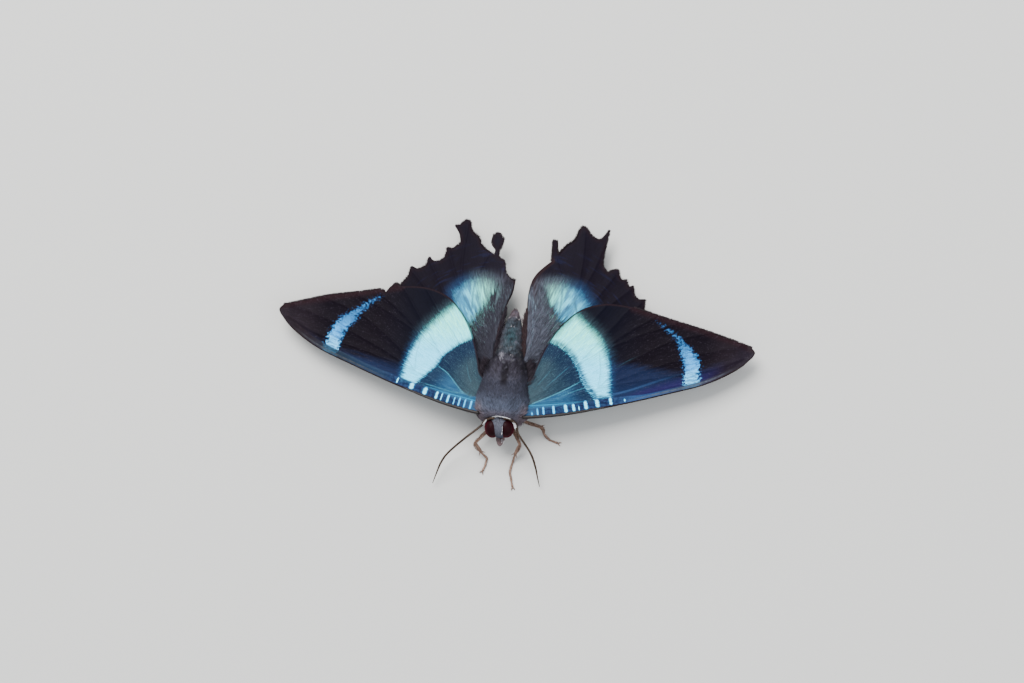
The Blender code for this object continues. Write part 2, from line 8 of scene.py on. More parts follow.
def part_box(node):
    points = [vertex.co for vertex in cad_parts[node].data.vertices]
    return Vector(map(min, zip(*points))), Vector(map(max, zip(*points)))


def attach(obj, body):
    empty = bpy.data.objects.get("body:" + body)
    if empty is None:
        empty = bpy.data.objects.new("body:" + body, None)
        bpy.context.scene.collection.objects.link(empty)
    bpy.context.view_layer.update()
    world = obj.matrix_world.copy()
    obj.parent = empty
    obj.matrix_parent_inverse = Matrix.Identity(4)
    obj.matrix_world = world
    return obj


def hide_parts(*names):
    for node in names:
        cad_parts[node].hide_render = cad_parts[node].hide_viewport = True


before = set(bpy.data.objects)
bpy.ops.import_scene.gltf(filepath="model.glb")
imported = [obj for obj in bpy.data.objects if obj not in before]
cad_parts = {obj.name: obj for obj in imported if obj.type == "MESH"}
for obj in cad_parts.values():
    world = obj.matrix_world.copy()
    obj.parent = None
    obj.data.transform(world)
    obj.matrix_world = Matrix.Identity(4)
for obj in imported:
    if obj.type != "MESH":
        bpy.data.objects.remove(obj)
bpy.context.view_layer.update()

# Lengths are millimetres. Stations run along the body from the back of the head, tail positive,
# and a wing's points are those of the moth's left side; the right side mirrors them.
MM = 0.001
THORAX_FRONT = 1.25
STATION_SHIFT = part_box("thorax")[0].y / MM - THORAX_FRONT
SIDES = {"left": 1, "right": -1}

# Camera: straight above, leaning a little to the moth's left and to its head
CAMERA_LENS = 74.0
CAMERA_SENSOR = 36.0
CAMERA_NEAR = 0.01
CAMERA_DISTANCE = 400.0
CAMERA_AIM = (0.118, 15.348, 5.0)
LEAN_TO_SIDE = math.radians(7.731)
LEAN_TO_HEAD = math.radians(12.0)
CAMERA_ROLL = math.radians(7.045)

# Forewing outline
FORE_COSTA = [
    (2.6, 0.45), (5.4, 0.7), (12.4, 2.15), (21.0, 4.75), (30.0, 7.9), (37.5, 10.8), (43.0, 14.2),
    (45.6, 16.8),
]
FORE_APEX = [(45.6, 16.8), (46.0, 17.8), (45.3, 18.7)]
FORE_TERMEN = [(45.3, 18.7), (42.5, 19.5), (36.5, 21.0), (30.6, 22.2), (26.5, 23.1), (22.6, 24.0)]
FORE_TERMEN_TORN = [
    [(45.3, 18.7), (42.5, 19.5), (36.5, 21.2), (30.6, 22.3), (26.4, 23.1), (25.3, 22.3)],
    [(25.3, 22.3), (24.7, 23.4), (23.5, 24.5), (22.6, 24.0)],
]
FORE_INNER = [
    (22.6, 24.0), (18.5, 24.2), (15.2, 23.6), (12.6, 22.4), (10.4, 20.4), (8.4, 17.7), (6.8, 14.4),
    (5.6, 10.9), (4.8, 8.2), (3.0, 6.8),
]

# Hindwing outline: front edge, toothed margin, tail, and the edge along the abdomen
HIND_COSTA = [(2.2, 7.4), (6.5, 8.4), (12.5, 11.0), (19.0, 15.6), (23.0, 20.2), (24.2, 23.4)]
HIND_MARGIN = {
    "left": [
        [(24.2, 23.4), (24.3, 26.2)],
        [(24.3, 26.2), (23.0, 26.1), (22.2, 26.7)],
        [(22.2, 26.7), (21.7, 28.7)],
        [(21.7, 28.7), (20.9, 28.4), (20.4, 29.7)],
        [(20.4, 29.7), (19.2, 29.8), (18.6, 31.6)],
        [(18.6, 31.6), (17.5, 31.4), (16.6, 30.8)],
        [(16.6, 30.8), (15.5, 32.2), (15.6, 35.4), (16.0, 39.4)],
        [(16.0, 39.4), (15.2, 38.0), (14.2, 37.2), (12.8, 37.9), (11.6, 39.3)],
        [(11.6, 39.3), (10.8, 39.6), (10.2, 38.6)],
        [(10.2, 38.6), (9.6, 36.8), (8.2, 35.5), (6.8, 33.6)],
        [(6.8, 33.6), (6.5, 35.0), (6.3, 36.2)],
        [(6.3, 36.2), (5.5, 36.2)],
        [(5.5, 36.2), (5.6, 34.4), (5.7, 32.0)],
        [(5.7, 32.0), (4.2, 30.4), (2.9, 28.6), (2.2, 26.2), (2.1, 23.4), (2.4, 20.6), (2.6, 16.6),
         (2.9, 13.0), (2.2, 10.0)],
    ],
    "right": [
        [(24.2, 23.4), (22.6, 25.2)],
        [(22.6, 25.2), (21.7, 26.8), (21.3, 28.6)],
        [(21.3, 28.6), (19.9, 28.2), (18.5, 29.1)],
        [(18.5, 29.1), (18.1, 30.7), (17.2, 30.0), (15.8, 30.2)],
        [(15.8, 30.2), (15.0, 31.2), (14.9, 32.9)],
        [(14.9, 32.9), (13.6, 33.0), (12.3, 34.2)],
        [(12.3, 34.2), (12.8, 36.0), (13.9, 37.6)],
        [(13.9, 37.6), (12.9, 37.9), (11.9, 38.9), (11.0, 38.6)],
        [(11.0, 38.6), (10.5, 36.8), (9.0, 35.6), (8.2, 34.0)],
        [(8.2, 34.0), (7.0, 33.0), (5.4, 32.2)],
        [(5.4, 32.2), (5.3, 33.2)],
        [(5.3, 33.2), (6.3, 34.6), (6.2, 36.2)],
        [(6.2, 36.2), (5.2, 36.7), (4.0, 35.6)],
        [(4.0, 35.6), (4.3, 34.0), (4.7, 33.2)],
        [(4.7, 33.2), (4.7, 32.0)],
        [(4.7, 32.0), (3.3, 30.9), (2.9, 29.0), (1.9, 27.8), (0.7, 27.4)],
        [(0.7, 27.4), (0.9, 25.0), (1.7, 22.4), (2.3, 19.4), (2.6, 16.4), (2.9, 13.0), (2.2, 10.0)],
    ],
}

# Main veins
FORE_VEINS = [
    [(4.0, 2.4), (9.0, 2.8), (18.0, 5.0), (27.0, 8.0), (34.0, 10.6)],
    [(4.0, 3.0), (10.0, 4.6), (17.5, 7.6), (27.0, 10.6), (38.0, 13.6), (44.6, 16.9)],
    [(17.5, 7.6), (24.0, 11.2), (34.0, 15.6), (43.2, 18.8)],
    [(17.5, 7.6), (21.5, 12.2), (29.5, 17.8), (36.8, 20.5)],
    [(4.0, 3.6), (8.0, 6.4), (13.0, 11.4), (17.0, 14.6)],
    [(17.5, 7.6), (17.6, 11.0), (17.0, 14.6)],
    [(17.0, 14.6), (24.0, 18.6), (30.8, 21.7)],
    [(17.0, 14.6), (21.6, 18.8), (26.6, 22.4)],
    [(13.0, 11.4), (17.2, 17.2), (21.6, 23.4)],
    [(4.0, 4.4), (6.4, 8.0), (10.2, 14.4), (14.2, 19.4), (17.2, 23.6)],
]
HIND_VEINS = [
    [(3.4, 8.4), (8.0, 10.4), (15.0, 15.0), (20.6, 20.4), (23.6, 25.4)],
    [(3.4, 9.0), (6.4, 12.8), (11.6, 18.4), (17.0, 23.6), (21.3, 27.8)],
    [(11.6, 18.4), (14.6, 24.4), (18.0, 30.2)],
    [(3.4, 9.6), (5.0, 14.2), (8.4, 20.6), (11.0, 24.4)],
    [(11.6, 18.4), (11.8, 21.6), (11.0, 24.4)],
    [(8.4, 20.6), (8.4, 27.0), (6.6, 32.2)],
    [(3.2, 10.4), (3.6, 15.0), (4.0, 21.0), (3.4, 26.0), (2.6, 27.6)],
    [(11.0, 24.4), (13.6, 30.0), (15.4, 36.0)],
    [(11.0, 24.4), (11.6, 31.6), (11.4, 38.2)],
]

# Wing surfaces: the same middle surfaces as the solids, with finer relief
WING_THICKNESS = 0.14
WING_CELL = 0.17
SLICE_START = 0.37
SLICE_MERGE = 0.004
LIE_WIDTH = 20.0
LIE_LENGTH = 50.0
OUTLINE_STEP = 0.28
FORE_ROOT = (5.0, 3.0, 7.2)
FORE_DROOP = 0.084
FORE_CAMBER = 0.0011
FORE_SLANT = 0.45
FORE_HUB = (1.5, 2.5)
HIND_ROOT = (4.0, 9.0, 6.0)
HIND_DROOP = (0.052, 0.080)
HIND_HUB = (1.0, 7.0)
FOLD_HUB = (2.0, 8.0)
VEIN_HEIGHT = 0.13
VEIN_WIDTH = 0.2
MARK_STEP = 0.7

# Markings of the forewing, by side
MAIN_BAND_OUTER = {
    "left": [(20.7, 5.8), (20.4, 7.0), (20.0, 10.4), (19.0, 14.1), (16.7, 17.8), (13.3, 20.6), (11.6, 22.2)],
    "right": [(20.3, 5.2), (20.1, 6.6), (19.6, 9.3), (18.4, 12.6), (15.9, 16.4), (11.6, 21.0), (10.8, 21.6)],
}
MAIN_BAND_INNER = {
    "left": [(17.4, 5.4), (16.4, 6.4), (15.0, 7.9), (13.9, 9.8), (11.9, 13.2), (8.7, 15.3), (6.6, 15.4)],
    "right": [(17.1, 5.0), (15.9, 6.2), (13.5, 8.8), (12.3, 10.9), (9.6, 13.3), (6.7, 14.9), (5.4, 15.6)],
}
SHORT_BAND_OUTER = {
    "left": [(36.3, 9.4), (35.9, 12.4), (35.6, 15.0), (33.5, 18.1), (30.8, 20.3), (26.8, 22.2)],
    "right": [(36.3, 9.6), (35.3, 12.9), (34.2, 15.6), (31.8, 18.3), (28.9, 20.5), (26.2, 22.1)],
}
SHORT_BAND_INNER = {
    "left": [(33.6, 8.6), (33.5, 11.4), (33.0, 14.2), (31.0, 17.9), (28.8, 20.0), (26.4, 21.8)],
    "right": [(33.7, 9.2), (33.2, 12.0), (32.3, 14.6), (30.3, 17.2), (28.0, 19.5), (25.8, 21.6)],
}
# Each bar: station along the front edge, half width, and how far it reaches in from the edge
COSTAL_BARS = {
    "left": [
        (5.95, 0.16, 0.9), (7.0, 0.17, 1.5), (8.1, 0.2, 1.7), (10.0, 0.24, 1.75), (12.25, 0.32, 1.7),
        (13.7, 0.26, 1.6), (14.65, 0.12, 1.1), (15.95, 0.32, 1.75), (18.05, 0.36, 1.7), (20.45, 0.27, 1.5),
        (22.95, 0.16, 0.8),
    ],
    "right": [
        (6.1, 0.2, 1.9), (7.3, 0.16, 1.9), (8.4, 0.17, 1.9), (9.4, 0.12, 1.8), (10.65, 0.22, 1.8),
        (11.95, 0.12, 1.7), (12.95, 0.24, 1.65), (15.3, 0.4, 1.6), (18.0, 0.44, 1.45),
        (20.9, 0.15, 1.3),
    ],
}
BRIGHT_LINES = {
    "left": [
        ([(5.0, 2.9), (10.3, 6.0), (14.3, 8.7)], 0.8),
        ([(10.4, 5.1), (13.0, 6.5), (15.9, 7.9)], 0.45),
        ([(5.9, 6.6), (7.2, 8.4), (8.5, 10.3)], 0.16),
        ([(7.7, 6.6), (10.1, 9.4), (12.0, 11.5)], 0.18),
        ([(20.0, 11.6), (22.2, 13.3), (24.2, 14.6)], 0.07),
    ],
    "right": [
        ([(6.4, 3.7), (8.1, 4.6), (11.0, 7.6), (13.7, 9.3)], 0.7),
        ([(6.9, 4.0), (10.2, 4.3), (15.8, 5.5)], 0.5),
        ([(5.8, 5.4), (7.0, 7.6), (7.7, 10.0)], 0.12),
    ],
}
HIND_PATCH = {
    "left": [
        (10.6, 14.0), (9.3, 17.2), (8.6, 18.8), (7.3, 20.4), (6.0, 21.8), (5.3, 22.8), (5.0, 24.0),
        (5.2, 25.6), (5.8, 27.2), (9.0, 27.4), (11.7, 26.6), (12.8, 25.3), (13.7, 24.2), (14.5, 23.0),
        (15.4, 21.0), (16.0, 17.5),
    ],
    "right": [
        (9.6, 14.0), (7.4, 16.4), (6.4, 18.4), (5.5, 19.8), (4.9, 21.1), (4.4, 22.3), (3.8, 23.6),
        (3.7, 24.9), (4.6, 26.3), (6.4, 27.2), (9.0, 26.9), (10.9, 25.6), (12.3, 24.2), (12.1, 22.0),
        (13.6, 20.0), (14.0, 16.0),
    ],
}
# Beside the abdomen: a painted highlight along a fold of the left hindwing, and painted shade in a fold of
# the right one
HIND_STREAK = {
    "left": [(2.76, 24.35), (3.55, 22.45), (4.0, 20.1), (4.31, 17.5), (4.41, 15.2), (4.11, 13.1)],
    "right": [(4.43, 21.9), (4.53, 20.5), (3.91, 18.5)],
}

# Rings of the skin under the fur: station, half width, height above the axis, depth below, axis
TRUNK_RINGS = [
    (-1.35, 0.02, 0.02, 0.02, 5.2),
    (-1.2, 1.6, 0.4, 0.9, 5.2),
    (-1.0, 2.5, 0.5, 1.3, 5.2),
    (-0.7, 3.05, 0.65, 1.5, 5.2),
    (-0.2, 3.75, 1.05, 1.8, 5.22),
    (0.1, 4.15, 1.65, 2.0, 5.3),
    (0.35, 4.4, 2.2, 2.15, 5.4),
    (0.65, 4.6, 2.6, 2.3, 5.5),
    (0.95, 4.75, 2.8, 2.4, 5.55),
    (1.8, 4.95, 3.1, 2.8, 5.7),
    (3.2, 5.1, 3.3, 3.1, 5.8),
    (5.2, 4.85, 3.2, 3.1, 5.8),
    (7.2, 4.4, 2.95, 2.8, 5.7),
    (9.0, 3.85, 2.65, 2.3, 5.55),
    (10.4, 3.0, 2.35, 1.95, 5.42),
    (12.0, 2.4, 2.12, 1.95, 5.25),
    (14.0, 2.25, 2.0, 1.9, 5.05),
    (16.0, 2.05, 1.85, 1.75, 4.85),
    (18.0, 1.65, 1.5, 1.45, 4.65),
    (20.0, 1.05, 0.95, 0.9, 4.48),
    (21.0, 0.55, 0.5, 0.5, 4.4),
    (21.5, 0.02, 0.02, 0.02, 4.36),
]
HEAD_RINGS = [
    (-3.4, 0.02, 0.02, 0.02, 5.2),
    (-3.3, 0.5, 0.5, 0.6, 5.2),
    (-3.1, 0.8, 1.0, 1.1, 5.2),
    (-2.7, 1.05, 1.5, 1.5, 5.2),
    (-2.0, 1.3, 1.85, 1.7, 5.2),
    (-1.2, 1.5, 2.0, 1.75, 5.2),
    (-0.5, 1.6, 1.95, 1.7, 5.2),
    (0.1, 1.5, 1.6, 1.5, 5.2),
    (0.6, 1.2, 0.8, 0.8, 5.2),
    (0.9, 0.02, 0.02, 0.02, 5.2),
]
SQUARE = 2.6
ABDOMEN_START = 10.6
ABDOMEN_END = 21.6
ABDOMEN_SEGMENTS = 8
SKIN_SEGMENTS = 120
SKIN_RINGS = 260

# Tufts: corners of each, how deep it is rooted, how it curls aside and bends back, and the size
# of its patch on the unwrap
TUFT_CORNERS = 7
ROOT_DEPTH = 0.06
TUFT_CURL = 0.25
TUFT_BEND = 0.55
TUFT_PATCH = 0.003
COAT_SEED = 11

# Unwraps: the skin's start before the first station and its length, the width of a wing's, how
# much of each is used, and how far the left wing's is moved over
UNWRAP_START = 3.5
UNWRAP_LENGTH = 25.1
UNWRAP_WING = 60.0
UNWRAP_FILL = 0.99
SIDE_SHIFT = 0.4

# Half width that no part of the body reaches, for scattering tufts evenly
WIDEST = 5.2
# Corners closer than this, in metres, are one
SAME_PLACE = 1e-7
# Darkest and lightest single scale, as shares of the colour around it
SCALE_TONES = (0.72, 1.28)

# The head is turned a little to the moth's left; its parts have their own place before that
HEAD_PLACE = (-0.22, -1.5)
HEAD_TURN = math.radians(6.0)
EYE_CENTRE = (1.33, 0.0, 5.25)
EYE_SIZE = (1.47, 1.85, 1.85)
PALP_PATH = [(0.42, -0.6, 3.8), (0.42, -1.1, 3.5), (0.4, -1.8, 3.5), (0.3, -2.5, 3.8), (0.12, -3.05, 4.2)]
PALP_RADII = [0.36, 0.4, 0.4, 0.3, 0.1]

# Feeler thickness: shares of the length, and the radius at each
FEELER_SHARES = [0, 0.08, 0.3, 0.8, 1.0]
FEELER_RADII = [0.27, 0.22, 0.24, 0.2, 0.06]
FEELER_PATHS = {
    "left": [
        (0.7, 0.1, 7.05), (1.5, 0.05, 7.1), (2.3, -0.2, 6.65), (2.9, -0.65, 6.0), (3.1, -1.3, 5.3),
        (3.35, -2.1, 5.0), (4.1, -3.1, 4.8), (6.0, -5.4, 3.7), (7.0, -7.5, 2.3), (7.6, -9.5, 1.4),
        (8.15, -11.2, 0.9),
    ],
    "right": [
        (-1.1, -0.05, 7.05), (-1.75, -0.15, 7.1), (-2.65, -0.45, 6.65), (-3.2, -0.8, 6.0), (-3.6, -1.35, 5.4),
        (-4.6, -2.3, 5.2), (-6.7, -4.2, 4.9), (-9.6, -6.9, 3.5), (-10.9, -8.8, 2.5), (-11.7, -11.0, 1.6),
        (-12.2, -12.6, 1.1),
    ],
}

# Light marks on the body's back: a line, how many scales, and how far they stray from it
PALE_MARKS = [
    ([(0.4, 11.5), (0.7, 12.0)], 24, 0.2),
    ([(-1.4, 19.4), (-0.75, 19.75)], 26, 0.03),
    ([(0.4, 19.8), (1.2, 19.35)], 26, 0.03),
    ([(-0.5, 17.75), (0.0, 17.9), (0.45, 17.75)], 7, 0.02),
    ([(1.15, 20.3, 4.9), (1.75, 19.3, 4.9), (2.1, 18.6, 4.9)], 90, 0.08),
]
LIGHT_SHOULDER = [(2.9, -0.9), (3.5, -0.4), (3.9, 0.1)]

SOLE_Z = 0.2
LEG_PATHS = {
    "foreleg_left": [
        (1.3, 0.6, 4.2), (1.4, -0.1, 2.45), (3.7, -3.85, 2.9), (2.85, -5.6, 1.4), (2.4, -7.0, SOLE_Z),
        (2.1, -8.8, SOLE_Z), (2.6, -10.6, SOLE_Z), (2.95, -11.7, SOLE_Z),
    ],
    "foreleg_right": [
        (-1.3, 0.6, 4.2), (-1.4, -0.1, 2.45), (-4.75, -4.4, 2.9), (-3.7, -5.8, 1.4), (-2.6, -6.7, SOLE_Z),
        (-2.75, -8.2, SOLE_Z), (-3.15, -9.2, SOLE_Z),
    ],
    "midleg_left": [
        (1.7, 3.6, 4.0), (1.9, 3.2, 2.2), (3.8, 0.7, 3.1), (7.45, -0.15, 2.5), (7.85, -1.1, 1.1),
        (8.9, -2.0, SOLE_Z), (10.6, -2.45, SOLE_Z),
    ],
    "midleg_right": [
        (-1.7, 4.6, 4.0), (-1.9, 4.2, 2.1), (-5.8, 3.0, 3.1), (-9.2, 4.8, 1.4), (-10.2, 5.5, SOLE_Z),
        (-11.4, 6.0, SOLE_Z), (-12.8, 6.9, SOLE_Z),
    ],
    "hindleg_left": [
        (1.53, 7.71, 4.07), (1.72, 8.13, 2.17), (6.4, 11.2, 3.0), (8.5, 16.8, 1.4), (9.0, 18.3, SOLE_Z),
        (9.6, 20.6, SOLE_Z), (9.9, 22.6, SOLE_Z),
    ],
}
LEG_PATHS["hindleg_right"] = [(-x, y, z) for x, y, z in LEG_PATHS["hindleg_left"]]


# Shapes


def to_metres(points):
    """Stations in millimetres to the frame's metres."""
    return (np.asarray(points, float) + (0.0, STATION_SHIFT, 0.0)) * MM


def smooth_run(points, step):
    """Points about a step apart on a Catmull-Rom curve through the given ones."""
    given = np.asarray(points, float)
    if len(given) == 2:
        count = max(1, round(np.linalg.norm(given[1] - given[0]) / step))
        return given[0] + np.linspace(0, 1, count + 1)[:, None] * (given[1] - given[0])
    held = np.vstack([2 * given[0] - given[1], given, 2 * given[-1] - given[-2]])
    run = []
    for a, b, c, d in zip(held[:-3], held[1:-2], held[2:-1], held[3:]):
        count = max(1, round(np.linalg.norm(c - b) / step))
        t = np.linspace(0, 1, count + 1)[:-1, None]
        run.append(
            0.5 * (2 * b + (c - a) * t + (2 * a - 5 * b + 4 * c - d) * t**2 + (3 * b - a - 3 * c + d) * t**3)
        )
    return np.vstack([*run, given[-1:]])


def closed_outline(runs, step):
    """Joins runs that meet end to end into one closed loop."""
    return np.vstack([smooth_run(run, step)[:-1] for run in runs])


def fore_termen(side_name):
    return [FORE_TERMEN] if side_name == "left" else FORE_TERMEN_TORN


def fore_outline(side_name):
    runs = [FORE_COSTA, FORE_APEX, *fore_termen(side_name), FORE_INNER, [FORE_INNER[-1], FORE_COSTA[0]]]
    return closed_outline(runs, OUTLINE_STEP)


def hind_outline(side_name, step):
    margin = HIND_MARGIN[side_name]
    return closed_outline([HIND_COSTA, *margin, [margin[-1][-1], HIND_COSTA[0]]], step)


def hind_patch(side_name):
    return smooth_run(HIND_PATCH[side_name] + HIND_PATCH[side_name][:1], MARK_STEP)[:-1]


def unit(vectors):
    return vectors / np.linalg.norm(vectors, axis=1)[:, None]


def ways_along(points):
    """Along a path, across it and above it, at each of its points."""
    ways = unit(np.gradient(points, axis=0))
    across = unit(np.cross(ways, (0.0, 0.0, 1.0)))
    return ways, across, np.cross(across, ways)


def of_side(side_name, left, right):
    return left if side_name == "left" else right


def line_distance(points, line):
    """Distance from each point to an open line, and the nearest point's place on it."""
    best = np.full(len(points), np.inf)
    place = np.zeros((len(points), line.shape[1]))
    for a, b in zip(line[:-1], line[1:]):
        along = b - a
        share = np.clip(((points - a) @ along) / (along @ along), 0, 1)
        foot = a + share[:, None] * along
        gap = np.linalg.norm(points - foot, axis=1)
        nearer = gap < best
        best[nearer] = gap[nearer]
        place[nearer] = foot[nearer]
    return best, place


def signed_distance(points, line):
    """Distance to an open line, and the same with a sign that tells its sides apart."""
    gap, foot = line_distance(points, line)
    ahead = np.minimum(np.searchsorted(line[:, 0], foot[:, 0]), len(line) - 1)
    way = line[ahead] - line[np.maximum(ahead - 1, 0)]
    off = points - foot
    return gap, gap * np.sign(way[:, 0] * off[:, 1] - way[:, 1] * off[:, 0])


def depth_inside(points, loop):
    """Distance to a closed loop, positive inside it and negative outside."""
    closed = np.vstack([loop, loop[:1]])
    crossings = np.zeros(len(points), int)
    for a, b in zip(closed[:-1], closed[1:]):
        spans = (a[1] > points[:, 1]) != (b[1] > points[:, 1])
        rise = b[1] - a[1] if b[1] != a[1] else 1.0
        at = a[0] + (points[:, 1] - a[1]) / rise * (b[0] - a[0])
        crossings += spans & (points[:, 0] < at)
    gap, _ = line_distance(points, closed)
    return np.where(crossings % 2 == 1, gap, -gap)


def fold(value, low, high):
    """0 below low, 1 above high, and a smooth rise between."""
    t = np.clip((value - low) / (high - low), 0, 1)
    return t * t * (3 - 2 * t)


def deselect_all():
    if bpy.context.object and bpy.context.object.mode != "OBJECT":
        bpy.ops.object.mode_set(mode="OBJECT")
    bpy.ops.object.select_all(action="DESELECT")


def select_only(piece):
    deselect_all()
    piece.select_set(True)
    bpy.context.view_layer.objects.active = piece


def edit_whole(*steps):
    """Runs edit operators one after another, each on all of the active piece."""
    bpy.ops.object.mode_set(mode="EDIT")
    for operator, settings in steps:
        bpy.ops.mesh.select_all(action="SELECT")
        operator(**settings)
    bpy.ops.object.mode_set(mode="OBJECT")


def set_points(piece, points):
    """Moves every vertex of a piece to a place given in stations."""
    piece.data.vertices.foreach_set("co", to_metres(points).astype(np.float32).ravel())
    piece.data.update()


def points_of(piece):
    """A piece's raw vertex coordinates."""
    co = np.empty(len(piece.data.vertices) * 3, np.float32)
    piece.data.vertices.foreach_get("co", co)
    return co.reshape(-1, 3).astype(float)


def add_field(piece, name, values):
    """Stores a number for each vertex, for the piece's material to read."""
    field = piece.data.attributes.new(name, "FLOAT", "POINT")
    field.data.foreach_set("value", np.asarray(values, np.float32))


def add_uv(piece, name, places):
    """A UV map from one place for each vertex."""
    layer = piece.data.uv_layers.new(name=name)
    corners = np.empty(len(piece.data.loops), np.int32)
    piece.data.loops.foreach_get("vertex_index", corners)
    layer.data.foreach_set("uv", np.asarray(places, np.float32)[corners].ravel())


def apply_modifier(piece, kind, **settings):
    select_only(piece)
    step = piece.modifiers.new("finish", kind)
    for name, value in settings.items():
        setattr(step, name, value)
    bpy.ops.object.modifier_apply(modifier=step.name)


def finish_piece(piece, slot, nodes, *materials):
    """Gives a piece its materials and smooth shading, hangs it under the root and hides the solids it stands
    for; the slot is not used.
    """
    piece.data.materials.clear()
    for material in materials:
        piece.data.materials.append(material)
    select_only(piece)
    bpy.ops.object.shade_smooth()
    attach(piece, "root")
    if nodes:
        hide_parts(*nodes)
    return piece


def forewing_height(x, y):
    out = x - FORE_ROOT[0]
    chord = y - FORE_ROOT[1] - FORE_SLANT * out
    return FORE_ROOT[2] - FORE_DROOP * out - FORE_CAMBER * chord * chord


def hindwing_height(x, y):
    return HIND_ROOT[2] - HIND_DROOP[0] * (x - HIND_ROOT[0]) - HIND_DROOP[1] * (y - HIND_ROOT[1])


def sliced_sheet(name, outline, cell):
    """A flat sheet with the outline, sliced both ways into small cells. Its places are wing millimetres."""
    deselect_all()
    bpy.ops.mesh.primitive_circle_add(vertices=len(outline), radius=1.0, fill_type="NGON")
    sheet = bpy.context.object
    sheet.name = name
    flat = np.column_stack([outline, np.zeros(len(outline))])
    sheet.data.vertices.foreach_set("co", flat.astype(np.float32).ravel())
    steps = []
    for axis in (0, 1):
        normal = [0.0, 0.0, 0.0]
        normal[axis] = 1.0
        for place in np.arange(outline[:, axis].min() + SLICE_START * cell, outline[:, axis].max(), cell):
            point = [0.0, 0.0, 0.0]
            point[axis] = place
            steps.append((bpy.ops.mesh.bisect, {"plane_co": point, "plane_no": normal}))
    edit_whole(*steps, (bpy.ops.mesh.remove_doubles, {"threshold": SLICE_MERGE}))
    return sheet


def lie_map(places, root):
    """Place along and across the rays that run out from a wing's root, where the scales lie."""
    out = places - np.asarray(root)
    radius = np.hypot(out[:, 0], out[:, 1])
    turn = np.arctan2(out[:, 1], out[:, 0])
    return np.column_stack([radius, turn * LIE_WIDTH]) / LIE_LENGTH


def wing_piece(name, side, outline, veins, height, relief, root, fields, materials, node):
    """A thin wing: sliced sheet, raised veins, marking fields and a thickness."""
    sheet = sliced_sheet(name, outline, WING_CELL)
    places = points_of(sheet)[:, :2]
    vein_gap = np.full(len(places), np.inf)
    for vein in veins:
        gap, _ = line_distance(places, smooth_run(vein, 0.8))
        vein_gap = np.minimum(vein_gap, gap)
    tall = height(places[:, 0], places[:, 1]) + relief(places, vein_gap)
    tall += VEIN_HEIGHT * np.exp(-((vein_gap / VEIN_WIDTH) ** 2))
    add_field(sheet, "vein", vein_gap)
    add_field(sheet, "out", places[:, 0])
    add_field(sheet, "back", places[:, 1])
    for field, values in fields(places).items():
        add_field(sheet, field, values)
    while sheet.data.uv_layers:
        sheet.data.uv_layers.remove(sheet.data.uv_layers[0])
    add_uv(sheet, "lie", lie_map(places, root))
    set_points(sheet, np.column_stack([side * places[:, 0], places[:, 1], tall]))
    if side < 0:
        select_only(sheet)
        edit_whole((bpy.ops.mesh.flip_normals, {}))
    sheet.data.materials.clear()
    for material in materials:
        sheet.data.materials.append(material)
    apply_modifier(sheet, "SOLIDIFY", thickness=WING_THICKNESS * MM, offset=0.0, material_offset=1)
    return finish_piece(sheet, "wing_scales", [node], *materials)


def fore_relief(places, vein_gap):
    """Shallow pleats between the veins, and the thick front edge."""
    costa = smooth_run(FORE_COSTA + FORE_APEX[1:], 1.0)
    edge, _ = line_distance(places, costa)
    pleat = -0.10 * fold(vein_gap, 0.2, 1.6)
    return pleat + 0.10 * np.exp(-((edge / 0.3) ** 2))


def hind_relief(places, vein_gap):
    """Deeper folds fanning out from the root, strongest beside the abdomen."""
    out = places - np.array(FOLD_HUB)
    turn = np.degrees(np.arctan2(out[:, 1], out[:, 0]))
    inner = fold(turn, 60, 88)
    folds = 0.14 * np.sin(np.radians(turn * 22)) * inner * fold(np.hypot(out[:, 0], out[:, 1]), 3, 9)
    return folds - 0.10 * fold(vein_gap, 0.2, 1.4)


def fore_fields(side_name):
    lines = [MAIN_BAND_OUTER, MAIN_BAND_INNER, SHORT_BAND_OUTER, SHORT_BAND_INNER]
    main_outer, main_inner, short_outer, short_inner = (smooth_run(d[side_name], MARK_STEP) for d in lines)
    band = np.vstack([main_outer, main_inner[::-1]])
    spot = np.vstack([short_outer, short_inner[::-1]])
    basal = np.vstack([main_inner, [(-6.0, 16.0), (-6.0, -6.0), (18.0, -6.0)]])
    costa = smooth_run(FORE_COSTA + FORE_APEX[1:], 0.5)
    termen = smooth_run(FORE_TERMEN, 0.5)
    inner = smooth_run(FORE_INNER, 0.5)

    def fields(places):
        strip, foot = line_distance(places, costa)
        bars = np.full(len(places), -2.0)
        for station, half, reach in COSTAL_BARS[side_name]:
            beside = (foot[:, 0] - station) / half
            beyond = np.maximum(0.0, strip - (reach - 0.25)) / 0.45 + np.maximum(0.0, 0.6 - strip) / 0.28
            bars = np.maximum(bars, 1.0 - np.hypot(beside, beyond))
        line_gap = np.full(len(places), 9.0)
        bright = np.zeros(len(places))
        for line, strength in BRIGHT_LINES[side_name]:
            gap, aside = signed_distance(places, smooth_run(line, 0.4))
            ends = [np.linalg.norm(places - np.array(line[k]), axis=1) for k in (0, -1)]
            fading = fold(np.minimum(*ends), -0.4, 1.6) * (1.0 - fold(gap, 0.3, 0.6))
            nearer = gap < np.abs(line_gap)
            line_gap[nearer] = aside[nearer]
            bright[nearer] = (strength * fading)[nearer]
        cell_line = smooth_run(BRIGHT_LINES[side_name][0][0], 0.4)
        ahead = np.interp(places[:, 0], cell_line[:, 0], cell_line[:, 1]) - places[:, 1]
        return {
            "band": depth_inside(places, band),
            "spot": depth_inside(places, spot),
            "basal": depth_inside(places, basal),
            "strip": strip,
            "bars": bars,
            "bright": bright,
            "line_gap": line_gap,
            "ahead": ahead,
            "termen": line_distance(places, termen)[0],
            "inner": line_distance(places, inner)[0],
        }

    return fields


